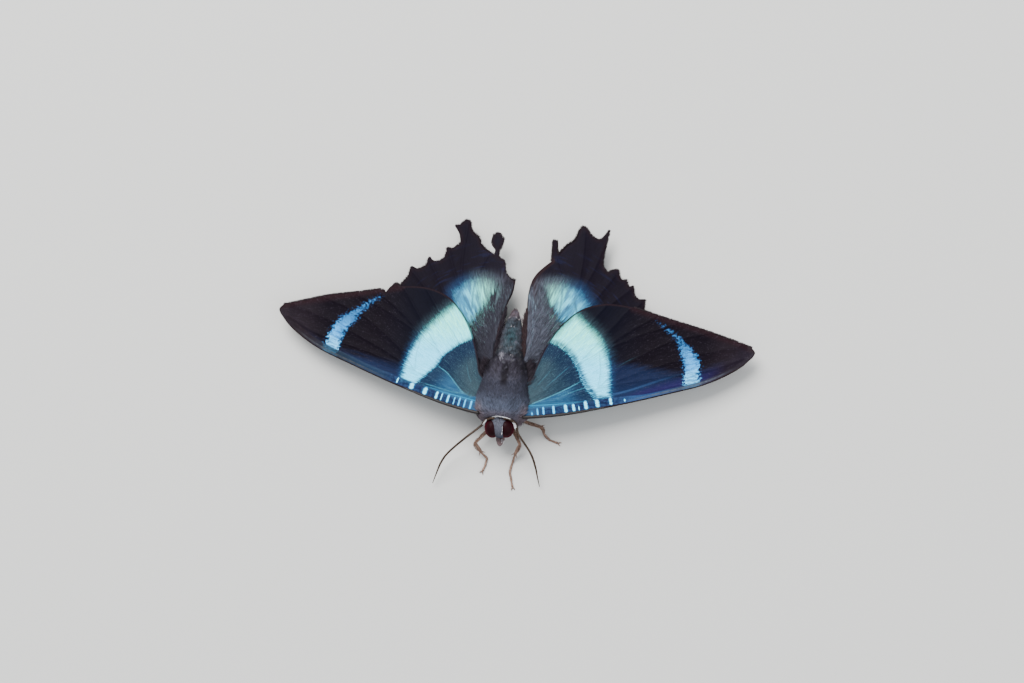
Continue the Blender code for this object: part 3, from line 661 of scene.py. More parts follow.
def hind_fields(side_name):
    patch = hind_patch(side_name)
    edge = np.vstack([smooth_run(run, 0.5) for run in HIND_MARGIN[side_name]])
    inner = smooth_run(HIND_MARGIN[side_name][-1], 0.5)
    streak = smooth_run(HIND_STREAK[side_name], 0.5)

    def fields(places):
        return {
            "patch": depth_inside(places, patch),
            "streak": line_distance(places, streak)[0],
            "turn": np.degrees(np.arctan2(places[:, 1] - HIND_HUB[1], places[:, 0] - HIND_HUB[0])),
            "margin": line_distance(places, edge)[0],
            "inner": line_distance(places, inner)[0],
        }

    return fields


def grid_piece(name, columns, rows, place):
    """A grid primitive laid on a surface, its first column closed onto its last."""
    deselect_all()
    bpy.ops.mesh.primitive_grid_add(x_subdivisions=columns, y_subdivisions=rows, size=2.0)
    piece = bpy.context.object
    piece.name = name
    flat = points_of(piece)
    u = (flat[:, 0] + 1) / 2
    v = (flat[:, 1] + 1) / 2
    set_points(piece, place(u, v))
    edit_whole(
        (bpy.ops.mesh.remove_doubles, {"threshold": SAME_PLACE}),
        (bpy.ops.mesh.fill_holes, {"sides": 0}),
        (bpy.ops.mesh.normals_make_consistent, {"inside": False}),
    )
    return piece


def ring_table(rings):
    table = smooth_run(rings, 0.08)
    return table[np.argsort(table[:, 0], kind="stable")]


TRUNK_TABLE = ring_table(TRUNK_RINGS)
HEAD_TABLE = ring_table(HEAD_RINGS)


def ring_reach(table, station, angle, square):
    """Distance from the axis to a ring's rim, in the direction of an angle."""
    half, up, down = (np.interp(station, table[:, 0], table[:, k], 0.02, 0.02) for k in range(1, 4))
    tall = np.where(np.sin(angle) > 0, up, down)
    across = (np.abs(np.cos(angle)) / np.maximum(half, 0.02)) ** square
    above = (np.abs(np.sin(angle)) / np.maximum(tall, 0.02)) ** square
    return (across + above) ** (-1 / square)


def body_point(station, angle):
    """A point of the skin at a station and an angle from the moth's left, turning up."""
    axis = np.interp(station, TRUNK_TABLE[:, 0], TRUNK_TABLE[:, 4])
    share = (station - ABDOMEN_START) / (ABDOMEN_END - ABDOMEN_START) * ABDOMEN_SEGMENTS
    within = share - np.floor(share)
    on_abdomen = fold(station, 10.2, 11.2)
    swell = 1.0 - 0.02 * on_abdomen * (fold(within, 0.86, 1.0) + 1.0 - fold(within, 0.0, 0.16))
    square = SQUARE - (SQUARE - 2.0) * on_abdomen
    trunk = ring_reach(TRUNK_TABLE, station, angle, square) * swell
    head = ring_reach(HEAD_TABLE, station, angle, SQUARE)
    reach = (trunk**10 + head**10) ** 0.1
    aside = (HEAD_PLACE[0] - (station - HEAD_PLACE[1]) * math.sin(HEAD_TURN)) * (1 - fold(station, -0.3, 0.5))
    return np.column_stack([aside + np.cos(angle) * reach, station, axis + np.sin(angle) * reach])


def body_normal(station, angle):
    step = 0.02
    along = body_point(station + step, angle) - body_point(station - step, angle)
    around = body_point(station, angle + step) - body_point(station, angle - step)
    normal = np.cross(along, around)
    outward = np.column_stack([np.cos(angle), np.zeros(len(angle)), np.sin(angle)])
    normal *= np.sign((normal * outward).sum(1))[:, None]
    return unit(normal)


def make_skin(material):
    """One skin for head, collar, thorax and abdomen."""
    deselect_all()
    bpy.ops.mesh.primitive_uv_sphere_add(segments=SKIN_SEGMENTS, ring_count=SKIN_RINGS, radius=1.0)
    skin = bpy.context.object
    skin.name = "body_skin"
    ball = points_of(skin)
    share = np.arccos(np.clip(ball[:, 2], -1, 1)) / math.pi
    station = HEAD_RINGS[0][0] + share * (TRUNK_RINGS[-1][0] - HEAD_RINGS[0][0])
    angle = np.arctan2(ball[:, 1], ball[:, 0])
    places = body_point(station, angle)
    set_points(skin, places)
    add_body_fields(skin, places, np.full(len(places), 0.5), np.zeros(len(places)))
    select_only(skin)
    edit_whole((bpy.ops.mesh.normals_make_consistent, {"inside": False}))
    return finish_piece(skin, "body_fur", ["head", "collar", "thorax", "abdomen"], material)


def add_body_fields(piece, places, shade, tip):
    add_field(piece, "station", places[:, 1])
    add_field(piece, "aside", np.abs(places[:, 0]))
    add_field(piece, "tall", places[:, 2])
    add_field(piece, "shade", shade)
    add_field(piece, "tip", tip)


def make_tufts(name, roots, ways, normals, lengths, widths, lift, places, rng, slot, material):
    """A coat piece of solid tufts: each a tapered blade of two lengths that bends along its lie."""
    count = len(roots)
    ways = unit(ways)
    across = unit(np.cross(ways, normals))
    lean = (rng.random(count) - 0.5) * TUFT_CURL
    rows = []
    for t, wide in ((0.0, 1.0), (0.5, 0.85), (1.0, 0.0)):
        centre = roots - normals * ROOT_DEPTH
        centre = centre + ways * (lengths * t)[:, None]
        centre = centre + normals * (lengths * (lift * t - TUFT_BEND * lift * t * t))[:, None]
        centre = centre + across * (lengths * lean * t * t)[:, None]
        if wide == 0.0:
            rows.append(centre[:, None, :])
            continue
        half = (widths * wide / 2)[:, None]
        ridge = centre + normals * half * 0.8
        rows.append(np.stack([centre + across * half, ridge, centre - across * half], axis=1))
    vertices = np.concatenate(rows, axis=1)
    faces = np.array([(0, 1, 4, 3), (1, 2, 5, 4), (2, 0, 3, 5)])
    tips = np.array([(3, 4, 6), (4, 5, 6), (5, 3, 6), (2, 1, 0)])
    base = (np.arange(count) * TUFT_CORNERS)[:, None, None]
    quads = (faces[None] + base).reshape(-1, 4)
    triangles = (tips[None] + base).reshape(-1, 3)
    mesh = bpy.data.meshes.new(name)
    mesh.vertices.add(count * TUFT_CORNERS)
    mesh.vertices.foreach_set("co", to_metres(vertices.reshape(-1, 3)).astype(np.float32).ravel())
    loops = np.concatenate([quads.ravel(), triangles.ravel()]).astype(np.int32)
    ends = len(quads) * 4 + np.arange(len(triangles)) * 3
    starts = np.concatenate([np.arange(len(quads)) * 4, ends])
    mesh.loops.add(len(loops))
    mesh.loops.foreach_set("vertex_index", loops)
    mesh.polygons.add(len(starts))
    mesh.polygons.foreach_set("loop_start", starts.astype(np.int32))
    mesh.update(calc_edges=True)
    mesh.validate()
    piece = bpy.data.objects.new(name, mesh)
    bpy.context.scene.collection.objects.link(piece)
    local = np.array([(0, 0), (0.5, 0), (1, 0), (0, 0.5), (0.5, 0.5), (1, 0.5), (0.5, 1.0)])
    add_uv(piece, "OFBake", (places[:, None, :] + local[None] * TUFT_PATCH).reshape(-1, 2))
    shade = np.repeat(rng.random(count), TUFT_CORNERS)
    tip = np.tile([0, 0, 0, 0.5, 0.5, 0.5, 1.0], count)
    add_body_fields(piece, np.repeat(roots, TUFT_CORNERS, axis=0), shade, tip)
    return finish_piece(piece, slot, [], material)


def skin_spots(station, angle):
    """Roots and normals of tufts on the skin, and their places on its unwrap."""
    around = (angle / (2 * math.pi)) % 1.0
    places = np.column_stack([around, (station + UNWRAP_START) / UNWRAP_LENGTH]) * UNWRAP_FILL
    return body_point(station, angle), body_normal(station, angle), places


def wing_spots(x, y, shift=0.0):
    """Places of tufts on a wing's unwrap."""
    return np.column_stack([x / UNWRAP_WING + shift, y / UNWRAP_WING]) * UNWRAP_FILL


def body_spots(x, y):
    """Places of tufts laid on the body by its plan."""
    return np.column_stack([0.5 + x / UNWRAP_WING, 0.3 + y / UNWRAP_WING])


def laid(ways, normals, share=1.0):
    """Ways turned down onto the surface."""
    return ways - normals * (ways * normals).sum(1)[:, None] * share


# Materials


def srgb(red, green, blue):
    """A colour as seen, 0 to 255, as the linear colour that a node takes."""

    def channel(value):
        share = value / 255
        return share / 12.92 if share <= 0.04045 else ((share + 0.055) / 1.055) ** 2.4

    return (channel(red), channel(green), channel(blue), 1.0)


class Nodes:
    """Adds nodes to one tree; an input is given as a socket, a number or a colour."""

    def __init__(self, tree):
        self.tree = tree

    def put(self, socket, value):
        if isinstance(value, bpy.types.NodeSocket):
            self.tree.links.new(value, socket)
        elif value is not None:
            socket.default_value = value

    def add(self, kind, inputs=(), output=0, **settings):
        made = self.tree.nodes.new(kind)
        for name, value in settings.items():
            setattr(made, name, value)
        for key, value in dict(inputs).items():
            self.put(made.inputs[key], value)
        return made.outputs[output]

    def sum(self, operation, first, second=None, third=None):
        return self.add("ShaderNodeMath", {0: first, 1: second, 2: third}, operation=operation)

    def times(self, first, second):
        return self.sum("MULTIPLY", first, second)

    def plus(self, first, second):
        return self.sum("ADD", first, second)

    def minus(self, first, second):
        return self.sum("SUBTRACT", first, second)

    def times_plus(self, first, second, third):
        return self.sum("MULTIPLY_ADD", first, second, third)

    def apart(self, first, second):
        """How far apart two values are."""
        return self.sum("ABSOLUTE", self.minus(first, second))

    def between(self, value, low, high, start=0.0, end=1.0):
        return self.add(
            "ShaderNodeMapRange",
            {0: value, 1: low, 2: high, 3: start, 4: end},
            interpolation_type="SMOOTHSTEP",
        )

    def mix(self, share, first, second, blend="MIX"):
        return self.add(
            "ShaderNodeMix", {0: share, 6: first, 7: second}, output=2, data_type="RGBA", blend_type=blend
        )

    def field(self, name):
        return self.add("ShaderNodeAttribute", output=2, attribute_name=name)

    def uv(self, name):
        return self.add("ShaderNodeUVMap", uv_map=name)

    def stretched(self, vector, scale):
        return self.add("ShaderNodeMapping", {"Vector": vector, "Scale": scale})

    def noise(self, vector, scale, detail=2.0, roughness=0.5):
        return self.add(
            "ShaderNodeTexNoise",
            {"Vector": vector, "Scale": scale, "Detail": detail, "Roughness": roughness},
        )

    def stretched_noise(self, vector, scale, detail, roughness):
        return self.noise(self.stretched(vector, scale), 1.0, detail, roughness)

    def group(self, group, inputs):
        made = self.tree.nodes.new("ShaderNodeGroup")
        made.node_tree = group
        for key, value in inputs.items():
            self.put(made.inputs[key], value)
        return made.outputs[0]


def new_group(name, inputs, outputs):
    """An empty node group with named sockets; an input is (name, kind, default)."""
    group = bpy.data.node_groups.new(name, "ShaderNodeTree")
    for label, kind, default in inputs:
        socket = group.interface.new_socket(label, in_out="INPUT", socket_type="NodeSocket" + kind)
        if default is not None:
            socket.default_value = default
    for label, kind in outputs:
        group.interface.new_socket(label, in_out="OUTPUT", socket_type="NodeSocket" + kind)
    start = group.nodes.new("NodeGroupInput")
    end = group.nodes.new("NodeGroupOutput")
    return group, Nodes(group), start, end


def make_scale_grain():
    """Fine rows of scales: a value that varies across and along the lie."""
    group, n, start, end = new_group(
        "scale_grain", [("Vector", "Vector", None), ("Fineness", "Float", 1.0)], [("Value", "Float")]
    )
    lie = n.stretched(start.outputs["Vector"], (260.0, 520.0, 1.0))
    fine = n.noise(lie, start.outputs["Fineness"], 1.0, 0.5)
    streaks = n.stretched(start.outputs["Vector"], (38.0, 240.0, 1.0))
    streak = n.noise(streaks, start.outputs["Fineness"], 2.0, 0.6)
    both = n.times_plus(fine, 0.6, n.times(streak, 0.4))
    n.put(end.inputs["Value"], both)
    return group


def make_feathered_edge():
    """A mask from a distance in millimetres, with the ragged edge that rows of scales give."""
    group, n, start, end = new_group(
        "feathered_edge",
        [
            ("Distance", "Float", 0.0), ("Vector", "Vector", None), ("Ragged", "Float", 0.6),
            ("Soft", "Float", 0.15),
        ],
        [("Mask", "Float")],
    )
    long_teeth = n.stretched_noise(start.outputs["Vector"], (34.0, 230.0, 1.0), 2.0, 0.6)
    short_teeth = n.stretched_noise(start.outputs["Vector"], (110.0, 480.0, 1.0), 1.0, 0.5)
    teeth = n.times_plus(long_teeth, 0.6, n.times(short_teeth, 0.4))
    shift = n.times(n.minus(teeth, 0.5), n.times(start.outputs["Ragged"], 3.0))
    distance = n.plus(start.outputs["Distance"], shift)
    soft = start.outputs["Soft"]
    n.put(end.inputs["Mask"], n.between(distance, n.times(soft, -1.0), soft))
    return group


def make_body_tones():
    """Colour of skin and coat by place along and around the body."""
    group, n, start, end = new_group(
        "body_tones",
        [
            ("Station", "Float", 0.0), ("Aside", "Float", 0.0), ("Tall", "Float", 0.0),
            ("Shade", "Float", 0.5), ("Mottle", "Float", 0.5),
        ],
        [("Color", "Color")],
    )
    station, aside = start.outputs["Station"], start.outputs["Aside"]
    tall, shade, mottle = start.outputs["Tall"], start.outputs["Shade"], start.outputs["Mottle"]

    def spot(centre, width):
        return n.between(n.apart(station, centre), width, 0.0)

    thorax = n.mix(n.between(station, 0.8, 4.5), srgb(62, 68, 82), srgb(45, 46, 57))
    thorax = n.mix(n.between(station, 5.0, 9.0), thorax, srgb(52, 49, 58))
    rim = n.times(spot(-0.3, 1.5), n.between(tall, 9.4, 7.8))
    thorax = n.mix(n.times(rim, 0.85), thorax, srgb(92, 84, 93))
    hood = n.times(n.between(aside, 2.6, 3.8), spot(0.3, 2.0))
    thorax = n.mix(n.times(hood, 0.75), thorax, srgb(92, 80, 84))
    # Painted shade: darker sides of the thorax along the wing roots.
    flank = n.times(n.between(aside, 4.3, 5.0), spot(4.2, 4.0))
    thorax = n.mix(n.times(flank, 0.65), thorax, srgb(28, 21, 28))
    # Painted shade: a dark line down the middle of the rear thorax, in the parting of the fur.
    crease_shade = n.times(n.between(aside, 0.95, 0.3), n.between(n.apart(station, 7.2), 2.8, 1.4))
    thorax = n.mix(n.times(crease_shade, 0.95), thorax, srgb(18, 15, 22))
    # Painted shade: dark spots at the rear corners of the thorax, where the hindwings meet it.
    beside = n.between(n.apart(aside, 3.2), 1.2, 0.2)
    thorax = n.mix(n.times(beside, n.times(spot(8.9, 1.9), 0.85)), thorax, srgb(19, 15, 22))
    abdomen = n.mix(n.between(aside, 0.9, 2.4), srgb(50, 57, 64), srgb(42, 39, 46))
    abdomen = n.mix(n.times(n.between(aside, 1.5, 0.2), spot(15.4, 3.2)), abdomen, srgb(40, 60, 66))
    abdomen = n.mix(n.between(station, 18.6, 20.0), abdomen, srgb(80, 70, 76))
    colour = n.mix(n.between(station, 9.8, 12.4), thorax, abdomen)
    mottled = n.between(station, 4.5, 9.5)
    colour = n.mix(n.times(n.between(mottle, 0.50, 0.34), n.times(mottled, 0.7)), colour, srgb(24, 20, 26))
    pale = n.mix(spot(11.6, 3.4), srgb(66, 66, 76), srgb(88, 88, 86))
    colour = n.mix(n.times(n.between(mottle, 0.54, 0.68), n.times(mottled, 0.75)), colour, pale)
    head = n.mix(n.between(aside, 1.2, 1.9), srgb(78, 80, 90), srgb(58, 54, 60))
    head = n.mix(n.between(station, -0.75, -0.45), head, srgb(30, 8, 12))
    ahead = n.times(n.between(station, 0.15, -0.15), n.between(tall, 5.6, 6.3))
    ahead = n.times(ahead, n.between(aside, 2.4, 1.9))
    colour = n.mix(ahead, colour, head)
    colour = n.mix(n.between(tall, 4.8, 3.0, 0.0, 0.8), colour, srgb(62, 48, 44))
    lit = n.mix(n.between(shade, 0.0, 1.0), (0.6, 0.58, 0.57, 1.0), (1.4, 1.4, 1.45, 1.0))
    n.put(end.inputs["Color"], n.mix(1.0, colour, lit, "MULTIPLY"))
    return group


SCALE_GRAIN = make_scale_grain()
FEATHERED_EDGE = make_feathered_edge()
BODY_TONES = make_body_tones()


def new_material(name, roughness, **constants):
    """A Principled material with its constant values set on the shader's own sockets."""
    material = bpy.data.materials.new(name)
    material.use_nodes = True
    shader = material.node_tree.nodes["Principled BSDF"]
    shader.inputs["Roughness"].default_value = roughness
    for key, value in constants.items():
        shader.inputs[key.replace("_", " ")].default_value = value
    return material, Nodes(material.node_tree), shader


def add_bump(n, shader, height, strength, distance):
    bump = n.add("ShaderNodeBump", {"Strength": strength, "Distance": distance * MM, "Height": height})
    n.put(shader.inputs["Normal"], bump)


def scale_edge(n, lie, distance, ragged, soft):
    return n.group(FEATHERED_EDGE, {"Distance": distance, "Vector": lie, "Ragged": ragged, "Soft": soft})


def start_wing_paint(name, roughness, specular):
    """A wing's material, with the lie of its scales and their grain."""
    material, n, shader = new_material(name, roughness, Specular_IOR_Level=specular)
    lie = n.uv("lie")
    grain = n.group(SCALE_GRAIN, {"Vector": lie, "Fineness": 1.0})
    return material, n, shader, lie, grain


def end_wing_paint(n, shader, colour, grain):
    """Lays a colour with the slight light and dark of single scales, and their relief."""
    tone = n.between(grain, 0.3, 0.7, *SCALE_TONES)
    scales = n.add("ShaderNodeCombineColor", {0: tone, 1: tone, 2: tone})
    n.put(shader.inputs["Base Color"], n.mix(1.0, colour, scales, "MULTIPLY"))
    add_bump(n, shader, grain, 0.3, 0.05)


def forewing_ground(n, lie, grain, side_name):
    """The dark part of the forewing: near the body teal, then black with blue toward the front edge."""
    out, strip, termen, band = n.field("out"), n.field("strip"), n.field("termen"), n.field("band")
    streaks = n.stretched_noise(lie, (9.0, 120.0, 1.0), 3.0, 0.6)
    dark = n.mix(n.between(out, 17.0, 27.0), srgb(7, 7, 17), srgb(10, 6, 13))
    broad, narrow = of_side(side_name, (8.8, 3.6), (4.6, 2.4))
    spread = n.between(out, 19.0, 36.0, broad, narrow)
    near_front = n.plus(strip, n.times(n.minus(streaks, 0.5), 2.6))
    dark = n.mix(n.between(near_front, spread, n.minus(spread, 2.2)), dark, srgb(16, 24, 47))
    dark = n.mix(n.between(near_front, n.times(spread, 0.5), n.times(spread, 0.2)), dark, srgb(15, 28, 54))
    if side_name == "left":
        line_place = n.between(out, 20.0, 33.0, 2.15, 3.1)
        violet = n.times(n.between(strip, line_place, 1.2), n.between(out, 21.0, 27.0))
        dark = n.mix(n.times(violet, 0.85), dark, srgb(24, 19, 58))
        line = n.between(n.apart(strip, line_place), 0.34, 0.02)
        line = n.times(line, n.times(n.between(out, 18.5, 20.5), n.between(out, 35.0, 22.0)))
        dark = n.mix(n.times(line, 0.85), dark, srgb(32, 54, 86))
    dark = n.mix(n.between(out, 35.5, 41.5, 0.0, 0.95), dark, srgb(22, 16, 22))
    dark = n.mix(n.between(termen, 1.5, 0.1, 0.0, 0.85), dark, srgb(27, 13, 18))

    ahead, inner = n.field("ahead"), n.field("inner")
    teal = n.mix(n.between(out, 5.5, 10.5), srgb(40, 54, 62), srgb(25, 41, 55))
    teal = n.mix(n.between(band, -4.4, -0.8), teal, srgb(15, 27, 45))
    teal = n.mix(n.between(inner, 2.2, 0.3, 0.0, 0.6), teal, srgb(22, 38, 50))
    blue = n.mix(n.between(streaks, 0.35, 0.65), srgb(24, 58, 88), srgb(38, 78, 106))
    blue = n.mix(n.between(out, 9.5, 15.5), blue, srgb(20, 42, 72))
    teal = n.mix(n.between(ahead, -0.05, 0.25), teal, blue)
    teal = n.mix(n.between(band, -4.6, -1.0, 0.0, 0.85), teal, srgb(16, 30, 50))
    basal = scale_edge(n, lie, n.field("basal"), 0.15, 0.3)
    ground = n.mix(basal, dark, teal)
    dusting = n.times(n.between(grain, 0.56, 0.68), n.times(basal, 0.6))
    ground = n.mix(dusting, ground, srgb(76, 112, 120))
    flecks = n.times(n.between(grain, 0.57, 0.68), n.between(out, 19.0, 23.0, 0.0, 0.55))
    return n.mix(flecks, ground, srgb(46, 42, 50))


def front_strip(n, colour, lie, grain, side_name):
    """The barred blue strip along the forewing's front edge, and a dark band at the edge that is partly its
    own dark brown and partly painted shadow.
    """
    out, strip = n.field("out"), n.field("strip")
    patches = n.noise(n.stretched(lie, (90.0, 90.0, 1.0)), 1.0)
    wide = n.between(out, 8.0, 18.0, 2.15, 1.8)
    wide = n.sum("MINIMUM", wide, n.between(out, 18.0, 28.0, 1.8, of_side(side_name, 1.0, 1.5)))
    in_strip = n.between(strip, wide, n.minus(wide, 0.25))
    blue = n.mix(n.between(patches, 0.4, 0.65), srgb(18, 26, 54), srgb(30, 50, 80))
    blue = n.mix(n.between(out, 8.5, 5.5), blue, srgb(38, 64, 92))
    tones = {
        (20.0, 25.0): ((36, 62, 98), (28, 42, 62)),
        (26.0, 34.0): ((40, 50, 68), (26, 35, 46)),
        (34.0, 40.0): ((42, 38, 42), (34, 27, 28)),
    }
    for reach, pair in tones.items():
        blue = n.mix(n.between(out, *reach), blue, srgb(*of_side(side_name, *pair)))
    colour = n.mix(n.times(in_strip, n.between(out, 42.0, 35.0, 0.25, 0.92)), colour, blue)
    wobble = n.times(n.minus(grain, 0.5), 1.6)
    bars = n.plus(n.field("bars"), wobble)
    colour = n.mix(n.between(bars, -0.45, 0.15, 0.0, 0.85), colour, srgb(24, 92, 142))
    lit = n.mix(n.between(out, 8.0, 12.5), srgb(64, 172, 226), srgb(124, 228, 255))
    colour = n.mix(n.between(bars, -0.05, 0.5), colour, lit)
    line_place = n.between(out, 6.0, 17.0, 2.2, 1.9)
    line = n.between(n.apart(strip, line_place), 0.2, 0.02)
    broken = n.between(grain, 0.38, 0.6, 0.35, 1.0)
    line = n.times(line, n.times(n.between(out, 17.0, 9.0, 0.0, 0.9), broken))
    colour = n.mix(line, colour, srgb(30, 118, 158))
    rim = n.between(n.apart(strip, 0.5), 0.22, 0.03)
    rim = n.times(rim, n.times(n.between(out, 21.0, 29.0), n.between(out, 43.0, 38.0)))
    rim_tone = srgb(*of_side(side_name, (62, 68, 78), (50, 52, 54)))
    colour = n.mix(n.times(rim, n.between(patches, 0.35, 0.6, 0.35, 0.9)), colour, rim_tone)
    # Dark band along the front edge, widest near the body: partly the edge's own dark brown, partly painted
    # shadow that the edge casts.
    edge_and_shadow_reach = n.between(out, 12.0, 24.0, 0.42, 0.22)
    return n.mix(n.between(strip, edge_and_shadow_reach, n.minus(edge_and_shadow_reach, 0.14)), colour, srgb(24, 13, 13))


def forewing_material(side_name):
    """Black-brown forewing: pale slanting band, short outer band, barred blue front strip."""
    material, n, shader, lie, grain = start_wing_paint("forewing_upper_" + side_name, 0.6, 0.03)
    strip, band, vein, back = n.field("strip"), n.field("band"), n.field("vein"), n.field("back")
    strokes = n.stretched_noise(lie, (22.0, 170.0, 1.0), 3.0, 0.65)
    colour = forewing_ground(n, lie, grain, side_name)
    line = n.between(n.sum("ABSOLUTE", n.field("line_gap")), 0.15, 0.03)
    line = n.times(line, n.between(grain, 0.4, 0.56, 0.25, 1.0))
    colour = n.mix(n.times(line, n.field("bright")), colour, srgb(60, 128, 150))

    rootward = n.between(n.field("basal"), -0.6, 0.2)
    insets = of_side(side_name, (0.7, 0.1), (0.25, 0.35))
    inset = n.mix(rootward, *((v, v, v, 1.0) for v in insets))
    depth = n.minus(band, inset)
    haze = n.between(back, 10.0, 18.0, 0.9, 1.7)
    haze = n.times_plus(rootward, n.minus(0.35, haze), haze)
    edge = scale_edge(n, lie, n.times_plus(haze, 0.7, depth), 1.2, n.times(haze, 1.1))
    edge_tone = n.mix(n.between(back, 11.0, 18.0), srgb(24, 52, 84), srgb(42, 58, 66))
    colour = n.mix(n.times(edge, n.times_plus(rootward, -0.4, 0.9)), colour, edge_tone)
    pale = n.mix(n.between(back, 10.5, 18.5), srgb(96, 216, 255), srgb(118, 232, 212))
    pale = n.mix(n.between(strokes, 0.6, 0.36, 0.0, 0.55), pale, srgb(64, 178, 214))
    pale = n.mix(n.between(vein, 0.15, 0.03, 0.0, 0.4), pale, srgb(62, 112, 130))
    full_depth = n.plus(depth, n.times_plus(rootward, 0.15, -0.2))
    full_depth = n.times_plus(haze, 0.3, full_depth)
    full = scale_edge(n, lie, full_depth, 0.9, n.times_plus(haze, 0.75, 0.05))
    full = n.sum("POWER", full, n.times_plus(rootward, -0.5, 1.8))
    colour = n.mix(full, colour, pale)

    sky = n.mix(n.between(strip, 9.5, 3.5), srgb(40, 98, 146), srgb(54, 142, 206))
    sky = n.mix(n.between(strip, 4.2, 1.8, 0.0, 0.8), sky, srgb(96, 190, 240))
    sky = n.mix(n.between(strokes, 0.58, 0.36, 0.0, 0.7), sky, srgb(26, 64, 112))
    blotches = n.stretched_noise(lie, (100.0, 160.0, 1.0), 2.0, 0.6)
    taper = n.between(strip, *of_side(side_name, (4.0, 10.5, 0.0, -0.75), (7.5, 10.5, 0.1, -0.5)))
    spot_depth = n.plus(n.field("spot"), taper)
    spot_depth = n.plus(spot_depth, n.times_plus(blotches, 3.0, -1.5))
    colour = n.mix(scale_edge(n, lie, n.plus(spot_depth, 0.2), 0.6, 0.45), colour, srgb(22, 48, 84))
    colour = n.mix(scale_edge(n, lie, n.minus(spot_depth, 0.05), 0.7, 0.35), colour, sky)

    colour = front_strip(n, colour, lie, grain, side_name)
    colour = n.mix(n.between(n.field("inner"), 0.42, 0.2, 0.0, 0.9), colour, srgb(24, 15, 20))
    end_wing_paint(n, shader, colour, grain)
    return material


def hindwing_material(side_name):
    """Dark hindwing with a pale patch that fades into grey hair beside the body."""
    material, n, shader, lie, grain = start_wing_paint("hindwing_upper_" + side_name, 0.6, 0.03)
    back, patch, vein = n.field("back"), n.field("patch"), n.field("vein")
    inner, turn = n.field("inner"), n.field("turn")
    streaks = n.stretched_noise(lie, (16.0, 150.0, 1.0), 3.0, 0.65)

    ground = n.mix(n.between(turn, 88.0, 62.0), srgb(16, 13, 22), srgb(12, 8, 17))
    ground = n.mix(n.between(n.field("margin"), 1.0, 0.0, 0.0, 0.6), ground, srgb(22, 12, 17))
    striae = n.stretched_noise(lie, (90.0, 14.0, 1.0), 2.0, 0.5)
    striae = n.times(n.between(striae, 0.54, 0.68), n.between(patch, -9.0, -2.0, 0.03, 0.3))
    ground = n.mix(striae, ground, srgb(24, 30, 60))
    outward = n.between(turn, 76.0, 60.0)
    glow = n.times(n.between(patch, -2.8, -0.4), n.between(turn, 90.0, 72.0))
    ground = n.mix(n.times(glow, 0.9), ground, n.mix(outward, srgb(20, 28, 36), srgb(17, 28, 52)))

    tones = of_side(side_name, ((30, 27, 34), (72, 77, 90)), ((23, 19, 26), (52, 54, 64)))
    hair_tone = n.mix(n.between(streaks, 0.36, 0.62), srgb(*tones[0]), srgb(*tones[1]))
    hair_tone = n.mix(n.between(inner, 3.0, 0.6, 0.0, 0.7), hair_tone, srgb(40, 33, 37))
    # Painted shade: the hair darkens toward the root, in the corner beside the thorax.
    hair_tone = n.mix(n.between(back, 13.0, 10.0, 0.0, 0.75), hair_tone, srgb(22, 17, 23))
    hairy = n.sum("MAXIMUM", n.between(turn, 66.0, 74.0), n.between(back, 22.0, 19.0))
    hairy = n.times(hairy, n.between(back, 30.0, 26.5))
    ground = n.mix(hairy, ground, hair_tone)

    edge = scale_edge(n, lie, n.plus(patch, 0.9), 1.2, 1.2)
    edge_tone = n.mix(outward, srgb(58, 72, 76), srgb(26, 46, 70))
    colour = n.mix(n.times(edge, 0.65), ground, edge_tone)
    pale = n.mix(n.between(turn, 60.0, 74.0), srgb(60, 144, 172), srgb(104, 192, 174))
    pale = n.mix(n.between(turn, 73.0, 80.0, 0.0, 0.8), pale, srgb(88, 122, 122))

    def both(inward_tone, outward_tone):
        return n.mix(outward, srgb(*inward_tone), srgb(*outward_tone))

    pale = n.mix(n.between(streaks, 0.62, 0.38, 0.0, 0.85), pale, both((66, 100, 102), (52, 106, 138)))
    broad = n.stretched_noise(lie, (12.0, 60.0, 1.0), 2.0, 0.6)
    pale = n.mix(n.between(broad, 0.54, 0.4, 0.0, 0.7), pale, both((70, 98, 98), (46, 98, 132)))
    pale = n.mix(n.between(broad, 0.5, 0.62, 0.0, 0.5), pale, both((120, 222, 204), (92, 190, 216)))
    pale = n.mix(n.between(vein, 0.3, 0.05, 0.0, 0.6), pale, srgb(48, 76, 92))
    pale = n.mix(n.between(patch, 2.4, 0.2, 0.0, 0.6), pale, both((78, 104, 106), (50, 104, 136)))
    colour = n.mix(scale_edge(n, lie, n.minus(patch, 0.4), 1.3, 1.1), colour, pale)

    # Painted highlight along the fold of the left hindwing, painted shade in the fold of the right one.
    fold_highlight_and_shade = srgb(*of_side(side_name, (92, 116, 130), (20, 15, 18)))
    streak = n.times(n.between(n.field("streak"), 0.42, 0.05), n.between(streaks, 0.3, 0.6, 0.45, 1.0))
    colour = n.mix(n.times(streak, n.between(back, 13.0, 21.0, 0.35, 0.95)), colour, fold_highlight_and_shade)
    colour = n.mix(n.between(inner, 0.85, 0.4, 0.0, 0.9), colour, srgb(30, 19, 22))
    end_wing_paint(n, shader, colour, grain)
    return material


def underside_material():
    """The paler, duller underside of the wings."""
    material, n, shader, lie, grain = start_wing_paint("wing_underside", 0.55, 0.12)
    wave = n.stretched_noise(lie, (60.0, 8.0, 1.0), 2.0, 0.5)
    colour = n.mix(n.between(wave, 0.42, 0.62), srgb(30, 34, 36), srgb(62, 84, 86))
    colour = n.mix(n.between(n.field("out"), 26.0, 44.0), colour, srgb(42, 36, 34))
    colour = n.mix(n.between(n.field("vein"), 0.2, 0.02), colour, srgb(34, 26, 24))
    end_wing_paint(n, shader, colour, grain)
    return material


def body_colour(n):
    place = n.add("ShaderNodeTexCoord", output=3)
    mottle = n.stretched_noise(place, (1500.0, 900.0, 1500.0), 3.0, 0.6)
    return n.group(
        BODY_TONES,
        {
            "Station": n.field("station"), "Aside": n.field("aside"), "Tall": n.field("tall"),
            "Shade": n.field("shade"), "Mottle": mottle,
        },
    )


